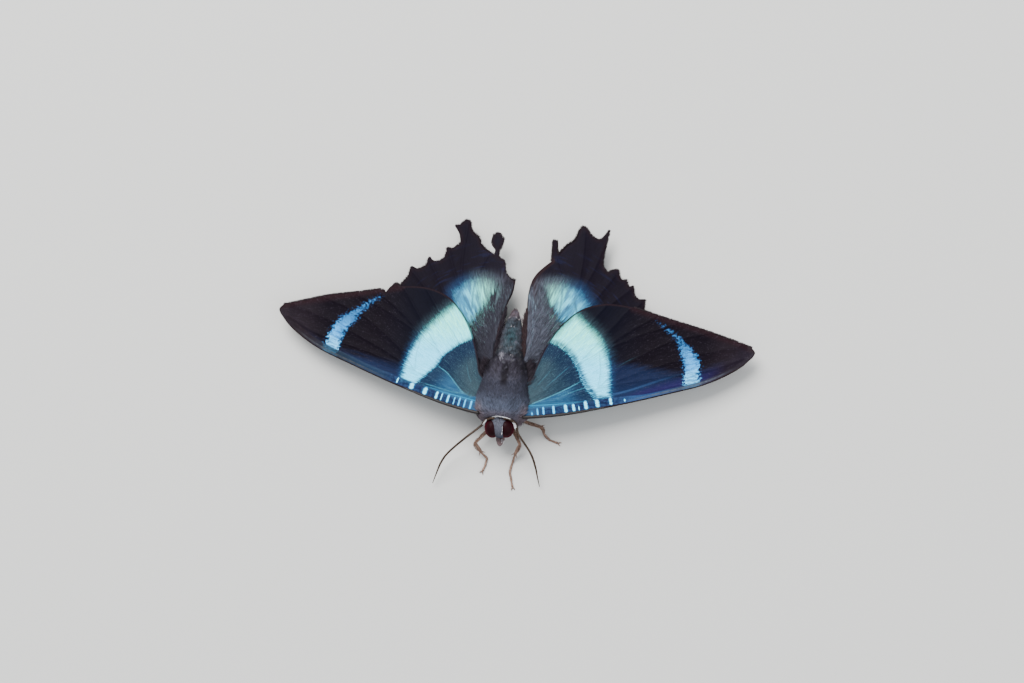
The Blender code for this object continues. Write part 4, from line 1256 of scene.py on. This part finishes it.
def skin_material():
    material, n, shader = new_material("body_skin", 0.8, Specular_IOR_Level=0.1)
    place = n.add("ShaderNodeTexCoord", output=3)
    fuzz = n.stretched_noise(place, (9000.0, 2500.0, 9000.0), 3.0, 0.6)
    colour = n.mix(n.between(fuzz, 0.3, 0.7), (0.4, 0.4, 0.4, 1.0), (0.9, 0.9, 0.9, 1.0))
    n.put(shader.inputs["Base Color"], n.mix(1.0, body_colour(n), colour, "MULTIPLY"))
    add_bump(n, shader, fuzz, 0.5, 0.15)
    return material


def coat_material(name, dark=None, light=None):
    """Fur in the body's own colours, or between two tones, darker at its roots."""
    material, n, shader = new_material(name, 0.55, Specular_IOR_Level=0.12)
    colour = n.mix(n.field("shade"), dark, light) if dark else body_colour(n)
    root_to_tip = n.mix(n.field("tip"), (0.65, 0.65, 0.65, 1.0), (1.2, 1.2, 1.2, 1.0))
    n.put(shader.inputs["Base Color"], n.mix(1.0, colour, root_to_tip, "MULTIPLY"))
    return material


def eye_material():
    """Dark maroon facets, redder where the eye turns away."""
    material, n, shader = new_material(
        "eye_gloss", 0.55, Coat_Weight=0.015, Coat_Roughness=0.2, Specular_IOR_Level=0.04
    )
    place = n.add("ShaderNodeTexCoord", output=3)
    facets = n.add("ShaderNodeTexVoronoi", {"Vector": place, "Scale": 9000.0}, output=0)
    facing = n.add("ShaderNodeLayerWeight", {"Blend": 0.35}, output=1)
    colour = n.mix(n.between(facing, 0.15, 0.75), srgb(24, 4, 8), srgb(62, 2, 18))
    n.put(shader.inputs["Base Color"], colour)
    add_bump(n, shader, facets, 0.3, 0.03)
    return material


def horn_material(name, dark, light, roughness=0.5):
    """Smooth hard skin of legs and feelers, with a fine scaly tone."""
    material, n, shader = new_material(name, roughness, Specular_IOR_Level=0.25)
    place = n.add("ShaderNodeTexCoord", output=3)
    rough = n.noise(place, 4200.0, 3.0, 0.6)
    broad = n.noise(place, 900.0, 1.0, 0.5)
    colour = n.mix(n.between(rough, 0.35, 0.65), dark, light)
    colour = n.mix(n.between(broad, 0.4, 0.65, 0.0, 0.5), colour, dark)
    n.put(shader.inputs["Base Color"], colour)
    add_bump(n, shader, rough, 0.4, 0.04)
    return material


# Pieces


def make_wings():
    under = underside_material()
    for side_name, side in SIDES.items():
        wing_piece(
            "forewing_sheet_" + side_name, side, fore_outline(side_name), FORE_VEINS, forewing_height,
            fore_relief, FORE_HUB, fore_fields(side_name), (forewing_material(side_name), under),
            "forewing_" + side_name,
        )
        outline = hind_outline(side_name, OUTLINE_STEP)
        wing_piece(
            "hindwing_sheet_" + side_name, side, outline, HIND_VEINS, hindwing_height,
            hind_relief, HIND_HUB, hind_fields(side_name), (hindwing_material(side_name), under),
            "hindwing_" + side_name,
        )


def tube_surface(path, radii):
    """A surface for grid_piece: a round tube along a smooth path, pressed flat on the floor."""
    centre = smooth_run(np.column_stack([path, radii]), 0.12)
    points, size = centre[:, :3], centre[:, 3]
    _, across, above = ways_along(points)
    length = np.linspace(0, 1, len(points))

    def place(u, v):
        def at(values):
            return np.column_stack([np.interp(v, length, values[:, k]) for k in range(3)])

        angle = 2 * math.pi * u
        radius = np.interp(v, length, size)
        beside = at(across) * (np.cos(angle) * radius)[:, None]
        spot = at(points) + beside + at(above) * (np.sin(angle) * radius)[:, None]
        spot[:, 2] = np.maximum(spot[:, 2], 0.0)
        return spot

    return place


def make_tube(name, path, radii, sides, rings):
    return grid_piece(name, sides, rings, tube_surface(path, radii))


def join_pieces(main, others):
    select_only(main)
    for other in others:
        other.select_set(True)
    bpy.ops.object.join()
    return main


def make_leg(name, path, material):
    points = [np.array(p) for p in path]
    hip, trochanter, knee, ankle, *foot = points
    line = [(hip, 0.7), (trochanter, 0.48)]
    stout = 0.8 if "foreleg" in name else 1.1
    thigh = ((0.2, 0.4 * stout), (0.5, 0.42 * stout), (0.85, 0.34 * stout))
    line += [(trochanter + (knee - trochanter) * s, r) for s, r in thigh]
    line += [(knee, 0.3)]
    line += [(knee + (ankle - knee) * s, r) for s, r in ((0.12, 0.27), (0.5, 0.33), (0.85, 0.33))]
    line += [(ankle, 0.24)]
    previous = ankle
    for joint in foot:
        line += [(previous + (joint - previous) * s, r) for s, r in ((0.08, 0.18), (0.5, 0.2), (0.92, 0.24))]
        previous = joint
    leg = make_tube("leg_" + name, [p for p, _ in line], [r for _, r in line], 14, 110)
    shin = (ankle - knee) / np.linalg.norm(ankle - knee)
    across = np.cross(shin, (0, 0, 1.0))
    across /= np.linalg.norm(across)
    extras = []
    for k in (-1, 1):
        root = knee + (ankle - knee) * 0.86
        tip = root + shin * 0.9 + across * k * 0.65
        extras.append(make_tube("spur", [root, (root + tip) / 2, tip], [0.13, 0.11, 0.03], 8, 8))
    heading = (foot[-1] - foot[-2]) / np.linalg.norm(foot[-1] - foot[-2])
    wide = np.cross(heading, (0, 0, 1.0))
    for k in (-1, 1):
        middle = foot[-1] + heading * 0.35 + wide * k * 0.28
        tip = foot[-1] + heading * 0.62 + wide * k * 0.3
        extras.append(make_tube("claw", [foot[-1], middle, tip], [0.14, 0.1, 0.03], 8, 8))
    join_pieces(leg, extras)
    return finish_piece(leg, "leg", [name], material)


def head_spot(points):
    """Points in the head's own place, turned and moved to the moth's."""
    points = np.asarray(points, float)
    x, y = points[:, 0], points[:, 1]
    turned_x = HEAD_PLACE[0] + x * math.cos(HEAD_TURN) - y * math.sin(HEAD_TURN)
    turned_y = HEAD_PLACE[1] + x * math.sin(HEAD_TURN) + y * math.cos(HEAD_TURN)
    return np.column_stack([turned_x, turned_y, points[:, 2]])


def make_head_parts():
    eye_gloss = eye_material()
    feeler_skin = horn_material("feeler_skin", srgb(30, 18, 10), srgb(58, 42, 28))
    palp_skin = horn_material("palp_skin", srgb(74, 60, 62), srgb(106, 88, 90), 0.7)
    for side_name, side in SIDES.items():
        deselect_all()
        bpy.ops.mesh.primitive_uv_sphere_add(segments=72, ring_count=48, radius=1.0)
        eye = bpy.context.object
        eye.name = "eye_ball_" + side_name
        ball = points_of(eye) * EYE_SIZE + (EYE_CENTRE[0] * side, EYE_CENTRE[1], EYE_CENTRE[2])
        set_points(eye, head_spot(ball))
        finish_piece(eye, "eye", ["eye_" + side_name], eye_gloss)
        path = FEELER_PATHS[side_name]
        share = np.linspace(0, 1, len(path))
        radii = np.interp(share, FEELER_SHARES, FEELER_RADII)
        feeler = make_tube("feeler_rod_" + side_name, path, radii, 12, 160)
        finish_piece(feeler, "feeler", ["feeler_" + side_name], feeler_skin)
        path = head_spot([(x * side, y, z) for x, y, z in PALP_PATH])
        palp = make_tube("palp_rod_" + side_name, path, PALP_RADII, 16, 40)
        finish_piece(palp, "palp", ["palp_" + side_name], palp_skin)


def scatter_on_body(rng, count, stations, angles):
    """Seeded places on the skin between two stations and two angles, even by area."""
    station = rng.uniform(*stations, count * 3)
    angle = rng.uniform(*angles, count * 3)
    trunk, head = (np.interp(station, table[:, 0], table[:, 1]) for table in (TRUNK_TABLE, HEAD_TABLE))
    keep = rng.random(count * 3) < np.maximum(trunk, head) / WIDEST
    return station[keep][:count], angle[keep][:count]


def body_tufts(name, rng, count, stations, angles, length, width, lift, material, spread=0.15):
    """Fur over part of the body, lying toward the tail and combed in soft clumps."""
    station, angle = scatter_on_body(rng, count, stations, angles)
    roots, normals, places = skin_spots(station, angle)
    ways = np.column_stack([np.cos(angle) * spread, np.ones(len(station)), np.zeros(len(station))])
    clump = np.sin(station * 2.3 + 3.1 * np.sin(angle * 4)) * 0.12
    ways[:, 0] += clump + rng.normal(0, 0.1, len(station))
    ways = laid(ways, normals)
    lengths = length * rng.uniform(0.7, 1.25, len(station))
    widths = width * rng.uniform(0.7, 1.3, len(station))
    return make_tufts(name, roots, ways, normals, lengths, widths, lift, places, rng, "body_fur", material)


def shoulder_tufts(name, rng, side, count, material):
    """The long scales of the shoulder, which lie over the wing's root."""
    station = rng.uniform(0.6, 8.6, count)
    angle = rng.normal(0.16, 0.09, count) * math.pi
    if side < 0:
        angle = math.pi - angle
    roots, normals, places = skin_spots(station, angle)
    ways = np.column_stack([np.full(count, 0.42 * side), np.ones(count), rng.normal(-0.05, 0.1, count)])
    ways[:, 0] += rng.normal(0, 0.15, count)
    ways = laid(ways, normals)
    lengths = 1.5 * rng.uniform(0.7, 1.25, count)
    widths = 0.13 * rng.uniform(0.7, 1.3, count)
    return make_tufts(name, roots, ways, normals, lengths, widths, 0.16, places, rng, "body_fur", material)


def rear_tufts(name, rng, count, material):
    """Longer fur at the back of the thorax, sweeping over the abdomen's root and the hindwings."""
    station = 5.4 + 6.4 * np.sqrt(rng.random(count))
    angle = rng.uniform(0.02, 0.98, count) * math.pi
    roots, normals, places = skin_spots(station, angle)
    fan = 0.45 + 0.6 * np.abs(np.cos(angle))
    ways = np.column_stack([np.cos(angle) * fan, np.ones(count), np.full(count, -0.08)])
    ways[:, 0] += rng.normal(0, 0.16, count)
    ways = laid(ways, normals, 0.8)
    lengths = rng.uniform(0.8, 1.3, count) * np.interp(station, [5.4, 8.5, 11.8], [0.9, 1.5, 1.9])
    widths = 0.1 * rng.uniform(0.7, 1.3, count)
    return make_tufts(name, roots, ways, normals, lengths, widths, 0.12, places, rng, "body_fur", material)


def inner_fringe(name, rng, side_name, count, material):
    """Brown hair from the hindwing's inner edge that closes the gap to the abdomen."""
    side = SIDES[side_name]
    edge = smooth_run(HIND_MARGIN[side_name][-1], 0.1)
    edge = edge[(edge[:, 1] < 21.5) & (edge[:, 1] > 10.5)]
    spot = edge[rng.integers(0, len(edge), count)]
    inward = rng.uniform(0.15, 0.7, count)
    ways = np.column_stack([-side * inward, np.ones(count), rng.normal(-0.05, 0.1, count)])
    x = spot[:, 0] + rng.uniform(-0.1, 0.5, count)
    tall = hindwing_height(x, spot[:, 1]) - 0.25 + 0.3 * rng.random(count)
    roots = np.column_stack([side * x, spot[:, 1], tall])
    normals = np.tile([0.0, 0.05, 1.0], (count, 1))
    lengths = rng.uniform(1.2, 2.4, count) * np.interp(spot[:, 1], [10.5, 19.0, 21.5], [1.0, 0.9, 0.4])
    widths = rng.uniform(0.08, 0.14, count)
    places = wing_spots(x, spot[:, 1], SIDE_SHIFT * (side > 0))
    return make_tufts(name, roots, ways, normals, lengths, widths, 0.05, places, rng, "wing_scales", material)


def root_tufts(name, rng, side, count, material):
    """Dark fur from the thorax's flank into the narrow space between fore and hindwing."""
    station = rng.uniform(6.2, 10.4, count)
    angle = math.pi * (0.5 - 0.5 * side) + rng.uniform(-0.3, 0.35, count)
    roots, normals, places = skin_spots(station, angle)
    ways = np.column_stack(
        [rng.uniform(0.5, 1.3, count) * side, np.ones(count), rng.normal(-0.05, 0.12, count)]
    )
    lengths = rng.uniform(1.4, 3.2, count)
    widths = rng.uniform(0.08, 0.13, count)
    return make_tufts(name, roots, ways, normals, lengths, widths, 0.1, places, rng, "body_fur", material)


def hindwing_hair(name, rng, side_name, count, lengths, widths, depths, reach, material):
    """Hair over the hindwing's inner part, rooted between two depths inside the pale patch."""
    side = SIDES[side_name]
    loop = hind_outline(side_name, 0.6)
    patch = hind_patch(side_name)
    radius, turn = near_abdomen(rng, count * 8, reach)
    x = HIND_HUB[0] + radius * np.cos(np.radians(turn))
    y = HIND_HUB[1] + radius * np.sin(np.radians(turn))
    places = np.column_stack([x, y])
    inside = depth_inside(places, patch) + rng.normal(0.0, 0.6, len(x))
    keep = (depth_inside(places, loop) > 0.15) & (inside > depths[0]) & (inside < depths[1])
    x, y, turn = x[keep][:count], y[keep][:count], turn[keep][:count]
    total = len(x)
    ways = np.column_stack([np.cos(np.radians(turn)), np.sin(np.radians(turn)), np.full(total, -0.06)])
    ways[:, 0] += rng.normal(0, 0.05, total)
    ways[:, 0] *= side
    roots = np.column_stack([side * x, y, hindwing_height(x, y) + WING_THICKNESS / 2 + 0.05])
    normals = np.tile([0.0, 0.08, 1.0], (total, 1))
    places = wing_spots(x, y, SIDE_SHIFT * (side > 0))
    long, wide = rng.uniform(*lengths, total), rng.uniform(*widths, total)
    return make_tufts(name, roots, ways, normals, long, wide, 0.08, places, rng, "wing_scales", material)


def near_abdomen(rng, count, reach):
    """Radius and turn of hair roots, densest beside the abdomen."""
    return rng.uniform(2.5, reach, count), 96.0 - np.abs(rng.normal(0, 24.0, count))


def wing_fringe(name, rng, side, runs, height, count, length, material):
    """Short scales standing out along a wing's margin."""
    edge = np.vstack([smooth_run(run, 0.1) for run in runs])
    ways = np.gradient(edge, axis=0)
    ways /= np.maximum(np.linalg.norm(ways, axis=1), 1e-9)[:, None]
    picks = rng.integers(0, len(edge), count)
    spot, along = edge[picks], ways[picks]
    outward = np.column_stack([-along[:, 1], along[:, 0]])
    middle = edge.mean(0) - np.array([0.0, 6.0])
    outward *= np.sign((outward * (spot - middle)).sum(1))[:, None]
    beside = side * (outward[:, 0] + rng.normal(0, 0.2, count))
    ways = np.column_stack([beside, outward[:, 1], np.full(count, -0.05)])
    roots = np.column_stack([side * spot[:, 0], spot[:, 1], height(spot[:, 0], spot[:, 1])])
    roots -= ways * 0.12
    normals = np.tile([0.0, 0.02, 1.0], (count, 1))
    lengths = length * rng.uniform(0.6, 1.3, count)
    widths = rng.uniform(0.08, 0.14, count)
    places = wing_spots(spot[:, 0], spot[:, 1])
    return make_tufts(name, roots, ways, normals, lengths, widths, 0.0, places, rng, "wing_scales", material)


def skin_height(x, y):
    """Height of the skin's upper side above the floor."""
    half, up, axis = (np.interp(y, TRUNK_TABLE[:, 0], TRUNK_TABLE[:, k]) for k in (1, 2, 4))
    square = np.where(y > ABDOMEN_START, 2.0, SQUARE)
    share = np.clip(1.0 - (np.abs(x) / half) ** square, 0.0, 1.0)
    return axis + up * share ** (1 / square)


def eye_rim(name, rng, count, material):
    """The white scales behind the eyes, widest on the moth's left."""
    turn = rng.uniform(math.radians(2), math.radians(158), count)
    marks = np.abs(turn - math.radians(97)) < 0.035
    marks |= np.abs(turn - math.radians(82)) < 0.03
    turn = turn[~marks]
    total = len(turn)
    wide = np.interp(turn, [0.0, 0.7, 1.2, 2.6, 3.1], [0.4, 0.3, 0.12, 0.12, 0.2])
    away = rng.random(total) * wide
    x = (2.92 + away) * np.cos(turn)
    y = (1.74 + away) * np.sin(turn)
    z = np.interp(turn, [0.0, 0.8, 1.57, 2.3, 3.1], [5.9, 6.9, 7.35, 6.9, 5.9]) + 0.3 * away
    roots = head_spot(np.column_stack([x, y, z]))
    for _ in range(3):
        tall = np.maximum(z, skin_height(roots[:, 0], roots[:, 1]) + 0.12)
        roots[:, 1] -= (tall - roots[:, 2]) * math.tan(LEAN_TO_HEAD)
        roots[:, 2] = tall
    ways = np.column_stack([-np.sin(turn), 0.6 * np.cos(turn), rng.normal(0.0, 0.1, total)])
    ways *= np.where(rng.random(total) < 0.5, 1, -1)[:, None]
    normals = unit(np.column_stack([0.3 * np.cos(turn), -0.4 * np.ones(total), np.ones(total)]))
    lengths = rng.uniform(0.25, 0.45, total)
    widths = rng.uniform(0.06, 0.1, total)
    places = body_spots(x, y)
    return make_tufts(name, roots, ways, normals, lengths, widths, 0.1, places, rng, "body_fur", material)


def scale_line(name, rng, line, count, spread, length, width, material, lift=0.12, rise=0.1):
    """Pale scales strewn along a line on the body's back, lying toward the tail."""
    run = smooth_run(line, 0.05)
    picks = run[rng.integers(0, len(run), count)]
    x, y = picks[:, 0] + rng.normal(0, spread, count), picks[:, 1] + rng.normal(0, spread, count)
    tall = picks[:, 2] if run.shape[1] == 3 else skin_height(x, y) + rise
    roots = np.column_stack([x, y, tall])
    ways = np.column_stack([rng.normal(0, 0.25, count), np.ones(count), np.full(count, -0.05)])
    normals = np.tile([0.0, 0.02, 1.0], (count, 1))
    lengths = length * rng.uniform(0.7, 1.3, count)
    widths = width * rng.uniform(0.7, 1.3, count)
    places = body_spots(x, y)
    return make_tufts(name, roots, ways, normals, lengths, widths, lift, places, rng, "body_fur", material)


def rod_scales(name, rng, path, radii, stretch, count, length, width, lift, slot, material, inward=0.0):
    """Scales lying along a rod such as a leg or a palp; stretch is the part of it that they cover."""
    run = smooth_run(np.column_stack([path, radii]), 0.06)
    picks = (rng.uniform(*stretch, count) * (len(run) - 1)).astype(int)
    ways, across, above = (direction[picks] for direction in ways_along(run[:, :3]))
    angle = rng.uniform(0, 2 * math.pi, count)
    normals = across * np.cos(angle)[:, None] + above * np.sin(angle)[:, None]
    roots = run[picks, :3] + normals * run[picks, 3:]
    roots[:, 2] = np.maximum(roots[:, 2], 0.25)
    leaning = ways + rng.normal(0, 0.08, (count, 3))
    leaning[:, 0] += inward
    lengths = length * rng.uniform(0.7, 1.3, count)
    widths = width * rng.uniform(0.7, 1.3, count)
    places = np.column_stack([picks / len(run), angle / 7.0]) * 0.98
    return make_tufts(name, roots, leaning, normals, lengths, widths, lift, places, rng, slot, material)


def make_coat():
    rng = np.random.default_rng(COAT_SEED)
    coat = coat_material("thorax_coat")
    turn = (-0.35 * math.pi, 1.35 * math.pi)
    for k, stations in enumerate([(-1.0, 3.2), (3.2, 6.4), (6.4, 11.2)]):
        body_tufts(f"thorax_fur_{k}", rng, 16000, stations, turn, 0.85 + 0.2 * k, 0.09, 0.16, coat)
    for side_name, side in SIDES.items():
        shoulder_tufts("shoulder_fur_" + side_name, rng, side, 3500, coat)
    rear_tufts("rear_fur", rng, 8000, coat)
    body_tufts("abdomen_scales", rng, 14000, (10.6, 21.2), turn, 1.0, 0.12, 0.2, coat, 0.3)
    body_tufts("head_fur", rng, 5000, (-3.3, -0.1), (0.1 * math.pi, 0.9 * math.pi), 0.3, 0.07, 0.15, coat)
    body_tufts("breast_fur", rng, 9000, (-0.9, 10.6), (1.35 * math.pi, 1.65 * math.pi), 1.0, 0.13, 0.2, coat)
    white = coat_material("white_scales", srgb(196, 198, 206), srgb(252, 252, 254))
    eye_rim("eye_rim", rng, 1900, white)
    # White scales along the frons' edge, drawn on the moth's left only, where they catch the light: partly
    # their own white, partly painted highlight.
    lit_frons_edge = [(0.62, -1.7, 7.15), (0.6, -2.4, 7.0), (0.5, -3.1, 6.5)]
    scale_line("frons_line", rng, lit_frons_edge, 26, 0.01, 0.22, 0.035, white)
    pale = coat_material("pale_scales", srgb(84, 82, 88), srgb(190, 180, 184))
    for k, (line, count, spread) in enumerate(PALE_MARKS):
        scale_line(f"pale_mark_{k}", rng, line, count, spread, 0.4, 0.06, pale)
    dusty = coat_material("dusty_scales", srgb(66, 58, 66), srgb(118, 106, 112))
    scale_line("light_shoulder", rng, LIGHT_SHOULDER, 220, 0.25, 0.5, 0.08, dusty, 0.2)
    hairs = {
        "left": coat_material("hindwing_hair_light", srgb(37, 35, 42), srgb(86, 90, 104)),
        "right": coat_material("hindwing_hair_dark", srgb(24, 20, 27), srgb(54, 55, 66)),
    }
    silver = coat_material("silver_hair", srgb(58, 68, 74), srgb(108, 128, 136))
    green = coat_material("pale_green_hair", srgb(52, 78, 82), srgb(112, 180, 172))
    dark_fur = coat_material("dark_fur", srgb(20, 16, 22), srgb(46, 39, 47))
    brown = coat_material("brown_hair", srgb(27, 19, 22), srgb(54, 40, 43))
    # Pale scales along the left hindwing's fold, carrying its painted highlight.
    fold = [(x - 0.5, y, hindwing_height(x, y) + WING_THICKNESS / 2 + 0.15) for x, y in HIND_STREAK["left"]]
    fold_highlight_scales = coat_material("fold_highlight_scales", srgb(56, 66, 80), srgb(116, 136, 152))
    scale_line("fold_light", rng, fold, 560, 0.09, 0.6, 0.05, fold_highlight_scales)
    whitish = coat_material("whitish_fur", srgb(84, 82, 92), srgb(150, 148, 160))
    scale_line("pale_tuft", rng, [(-1.2, 11.2), (-1.35, 12.3)], 90, 0.24, 0.55, 0.06, whitish, 0.2, 0.3)
    edge = coat_material("edge_scales", srgb(14, 9, 13), srgb(34, 22, 28))
    vein_skin = horn_material("front_vein", srgb(11, 7, 8), srgb(25, 16, 16))
    for side_name, side in SIDES.items():
        sets = {
            "hair": (6000, (1.2, 2.8), (0.05, 0.09), (-99.0, -0.4), 18.2, hairs[side_name]),
            "silver_hair": (1200, (1.0, 2.4), (0.04, 0.07), (-3.5, -0.2), 17.5, silver),
            "green_hair": (900, (1.0, 2.2), (0.04, 0.08), (-1.3, 1.0), 14.5, green),
        }
        for kind, (count, *ranges, tone) in sets.items():
            hindwing_hair(f"hindwing_{kind}_{side_name}", rng, side_name, count, *ranges, tone)
        fringe = of_side(side_name, brown, dark_fur)
        inner_fringe("inner_fringe_" + side_name, rng, side_name, 1800, fringe)
        root_tufts("wing_root_fur_" + side_name, rng, side, 1600, dark_fur)
        termen = fore_termen(side_name)
        wing_fringe("forewing_fringe_" + side_name, rng, side, termen, forewing_height, 1600, 0.4, edge)
        margin = HIND_MARGIN[side_name][:-1]
        wing_fringe("hindwing_fringe_" + side_name, rng, side, margin, hindwing_height, 2200, 0.4, edge)
        front_vein("front_vein_" + side_name, side, vein_skin)
    snout = coat_material("palp_scales", srgb(84, 70, 72), srgb(136, 116, 118))
    for side_name, side in SIDES.items():
        path = head_spot([(x * side, y, z) for x, y, z in PALP_PATH])
        rod_scales(
            "palp_fur_" + side_name, rng, path, PALP_RADII, (0.1, 0.95), 900, 0.45, 0.1, 0.15, "palp", snout,
            -0.1 * side,
        )
    path = head_spot([(x + 0.16, y, z + 0.15) for x, y, z in PALP_PATH])
    rod_scales("palp_light", rng, path, PALP_RADII, (0.55, 0.85), 40, 0.3, 0.07, 0.1, "palp", white, -0.1)
    leg_scale = coat_material("leg_scales", srgb(82, 64, 55), srgb(146, 118, 103))
    for name, path in LEG_PATHS.items():
        stout = 0.78 if "foreleg" in name else 1.05
        radii = np.array([0.5, 0.42, 0.36, 0.26, *[0.2] * (len(path) - 4)]) * stout
        rod_scales("scales_" + name, rng, path, radii, (0.12, 0.85), 900, 0.42, 0.08, 0.3, "leg", leg_scale)


def front_vein(name, side, material):
    """The thick dark vein that stiffens the forewing's front edge."""
    line = smooth_run(FORE_COSTA, 1.0)[2:-4]
    x, y = line[:, 0], line[:, 1] + 0.08
    path = np.column_stack([side * x, y, forewing_height(x, y) - 0.08])
    radii = np.interp(x, [2.6, 10.0, 20.0, 44.0], [0.34, 0.3, 0.17, 0.1])
    vein = make_tube(name, path, radii, 10, 160)
    return finish_piece(vein, "wing_scales", [], material)


def make_stage():
    deselect_all()
    bpy.ops.mesh.primitive_plane_add(size=4.0)
    floor = bpy.context.object
    floor.name = "floor"
    material, _, shader = new_material("floor_pale", 0.9, Specular_IOR_Level=0.2)
    shader.inputs["Base Color"].default_value = (0.46, 0.46, 0.45, 1.0)
    floor.data.materials.append(material)


def add_softbox(name, place, aim, size, power, colour):
    light = bpy.data.lights.new(name, "AREA")
    light.shape = "SQUARE"
    light.size = size
    light.energy = power
    light.color = colour
    lamp = bpy.data.objects.new(name, light)
    lamp.location = place
    lamp.rotation_euler = (Vector(aim) - Vector(place)).to_track_quat("-Z", "Y").to_euler()
    bpy.context.scene.collection.objects.link(lamp)


def make_light():
    add_softbox("window_light", (-0.25, 0.45, 0.75), (0, 0, 0), 0.6, 22.0, (1.0, 0.99, 0.97))
    add_softbox("side_fill", (0.6, -0.3, 0.6), (0, 0, 0), 0.8, 5.0, (0.94, 0.97, 1.0))
    world = bpy.data.worlds.new("room")
    world.use_nodes = True
    background = world.node_tree.nodes["Background"]
    background.inputs["Color"].default_value = (0.93, 0.96, 1.0, 1.0)
    background.inputs["Strength"].default_value = 1.1
    bpy.context.scene.world = world


def make_camera():
    back = Vector((math.sin(LEAN_TO_SIDE), -math.sin(LEAN_TO_HEAD), 0.0))
    back.z = math.sqrt(1 - back.length_squared)
    across = Vector((0, 1, 0)).cross(back).normalized()
    above = back.cross(across)
    right = across * math.cos(CAMERA_ROLL) + above * math.sin(CAMERA_ROLL)
    up = above * math.cos(CAMERA_ROLL) - across * math.sin(CAMERA_ROLL)
    data = bpy.data.cameras.new("camera")
    data.lens = CAMERA_LENS
    data.sensor_width = CAMERA_SENSOR
    data.clip_start = CAMERA_NEAR
    camera = bpy.data.objects.new("camera", data)
    place = Vector(to_metres([CAMERA_AIM])[0]) + back * CAMERA_DISTANCE * MM
    camera.matrix_world = Matrix([(right[k], up[k], back[k], place[k]) for k in range(3)] + [(0, 0, 0, 1)])
    bpy.context.scene.collection.objects.link(camera)
    bpy.context.scene.camera = camera


def main():
    make_camera()
    make_light()
    make_stage()
    make_wings()
    make_skin(skin_material())
    make_head_parts()
    leg_skin = horn_material("leg_skin", srgb(80, 60, 51), srgb(124, 98, 84))
    for name, path in LEG_PATHS.items():
        make_leg(name, path, leg_skin)
    make_coat()


main()
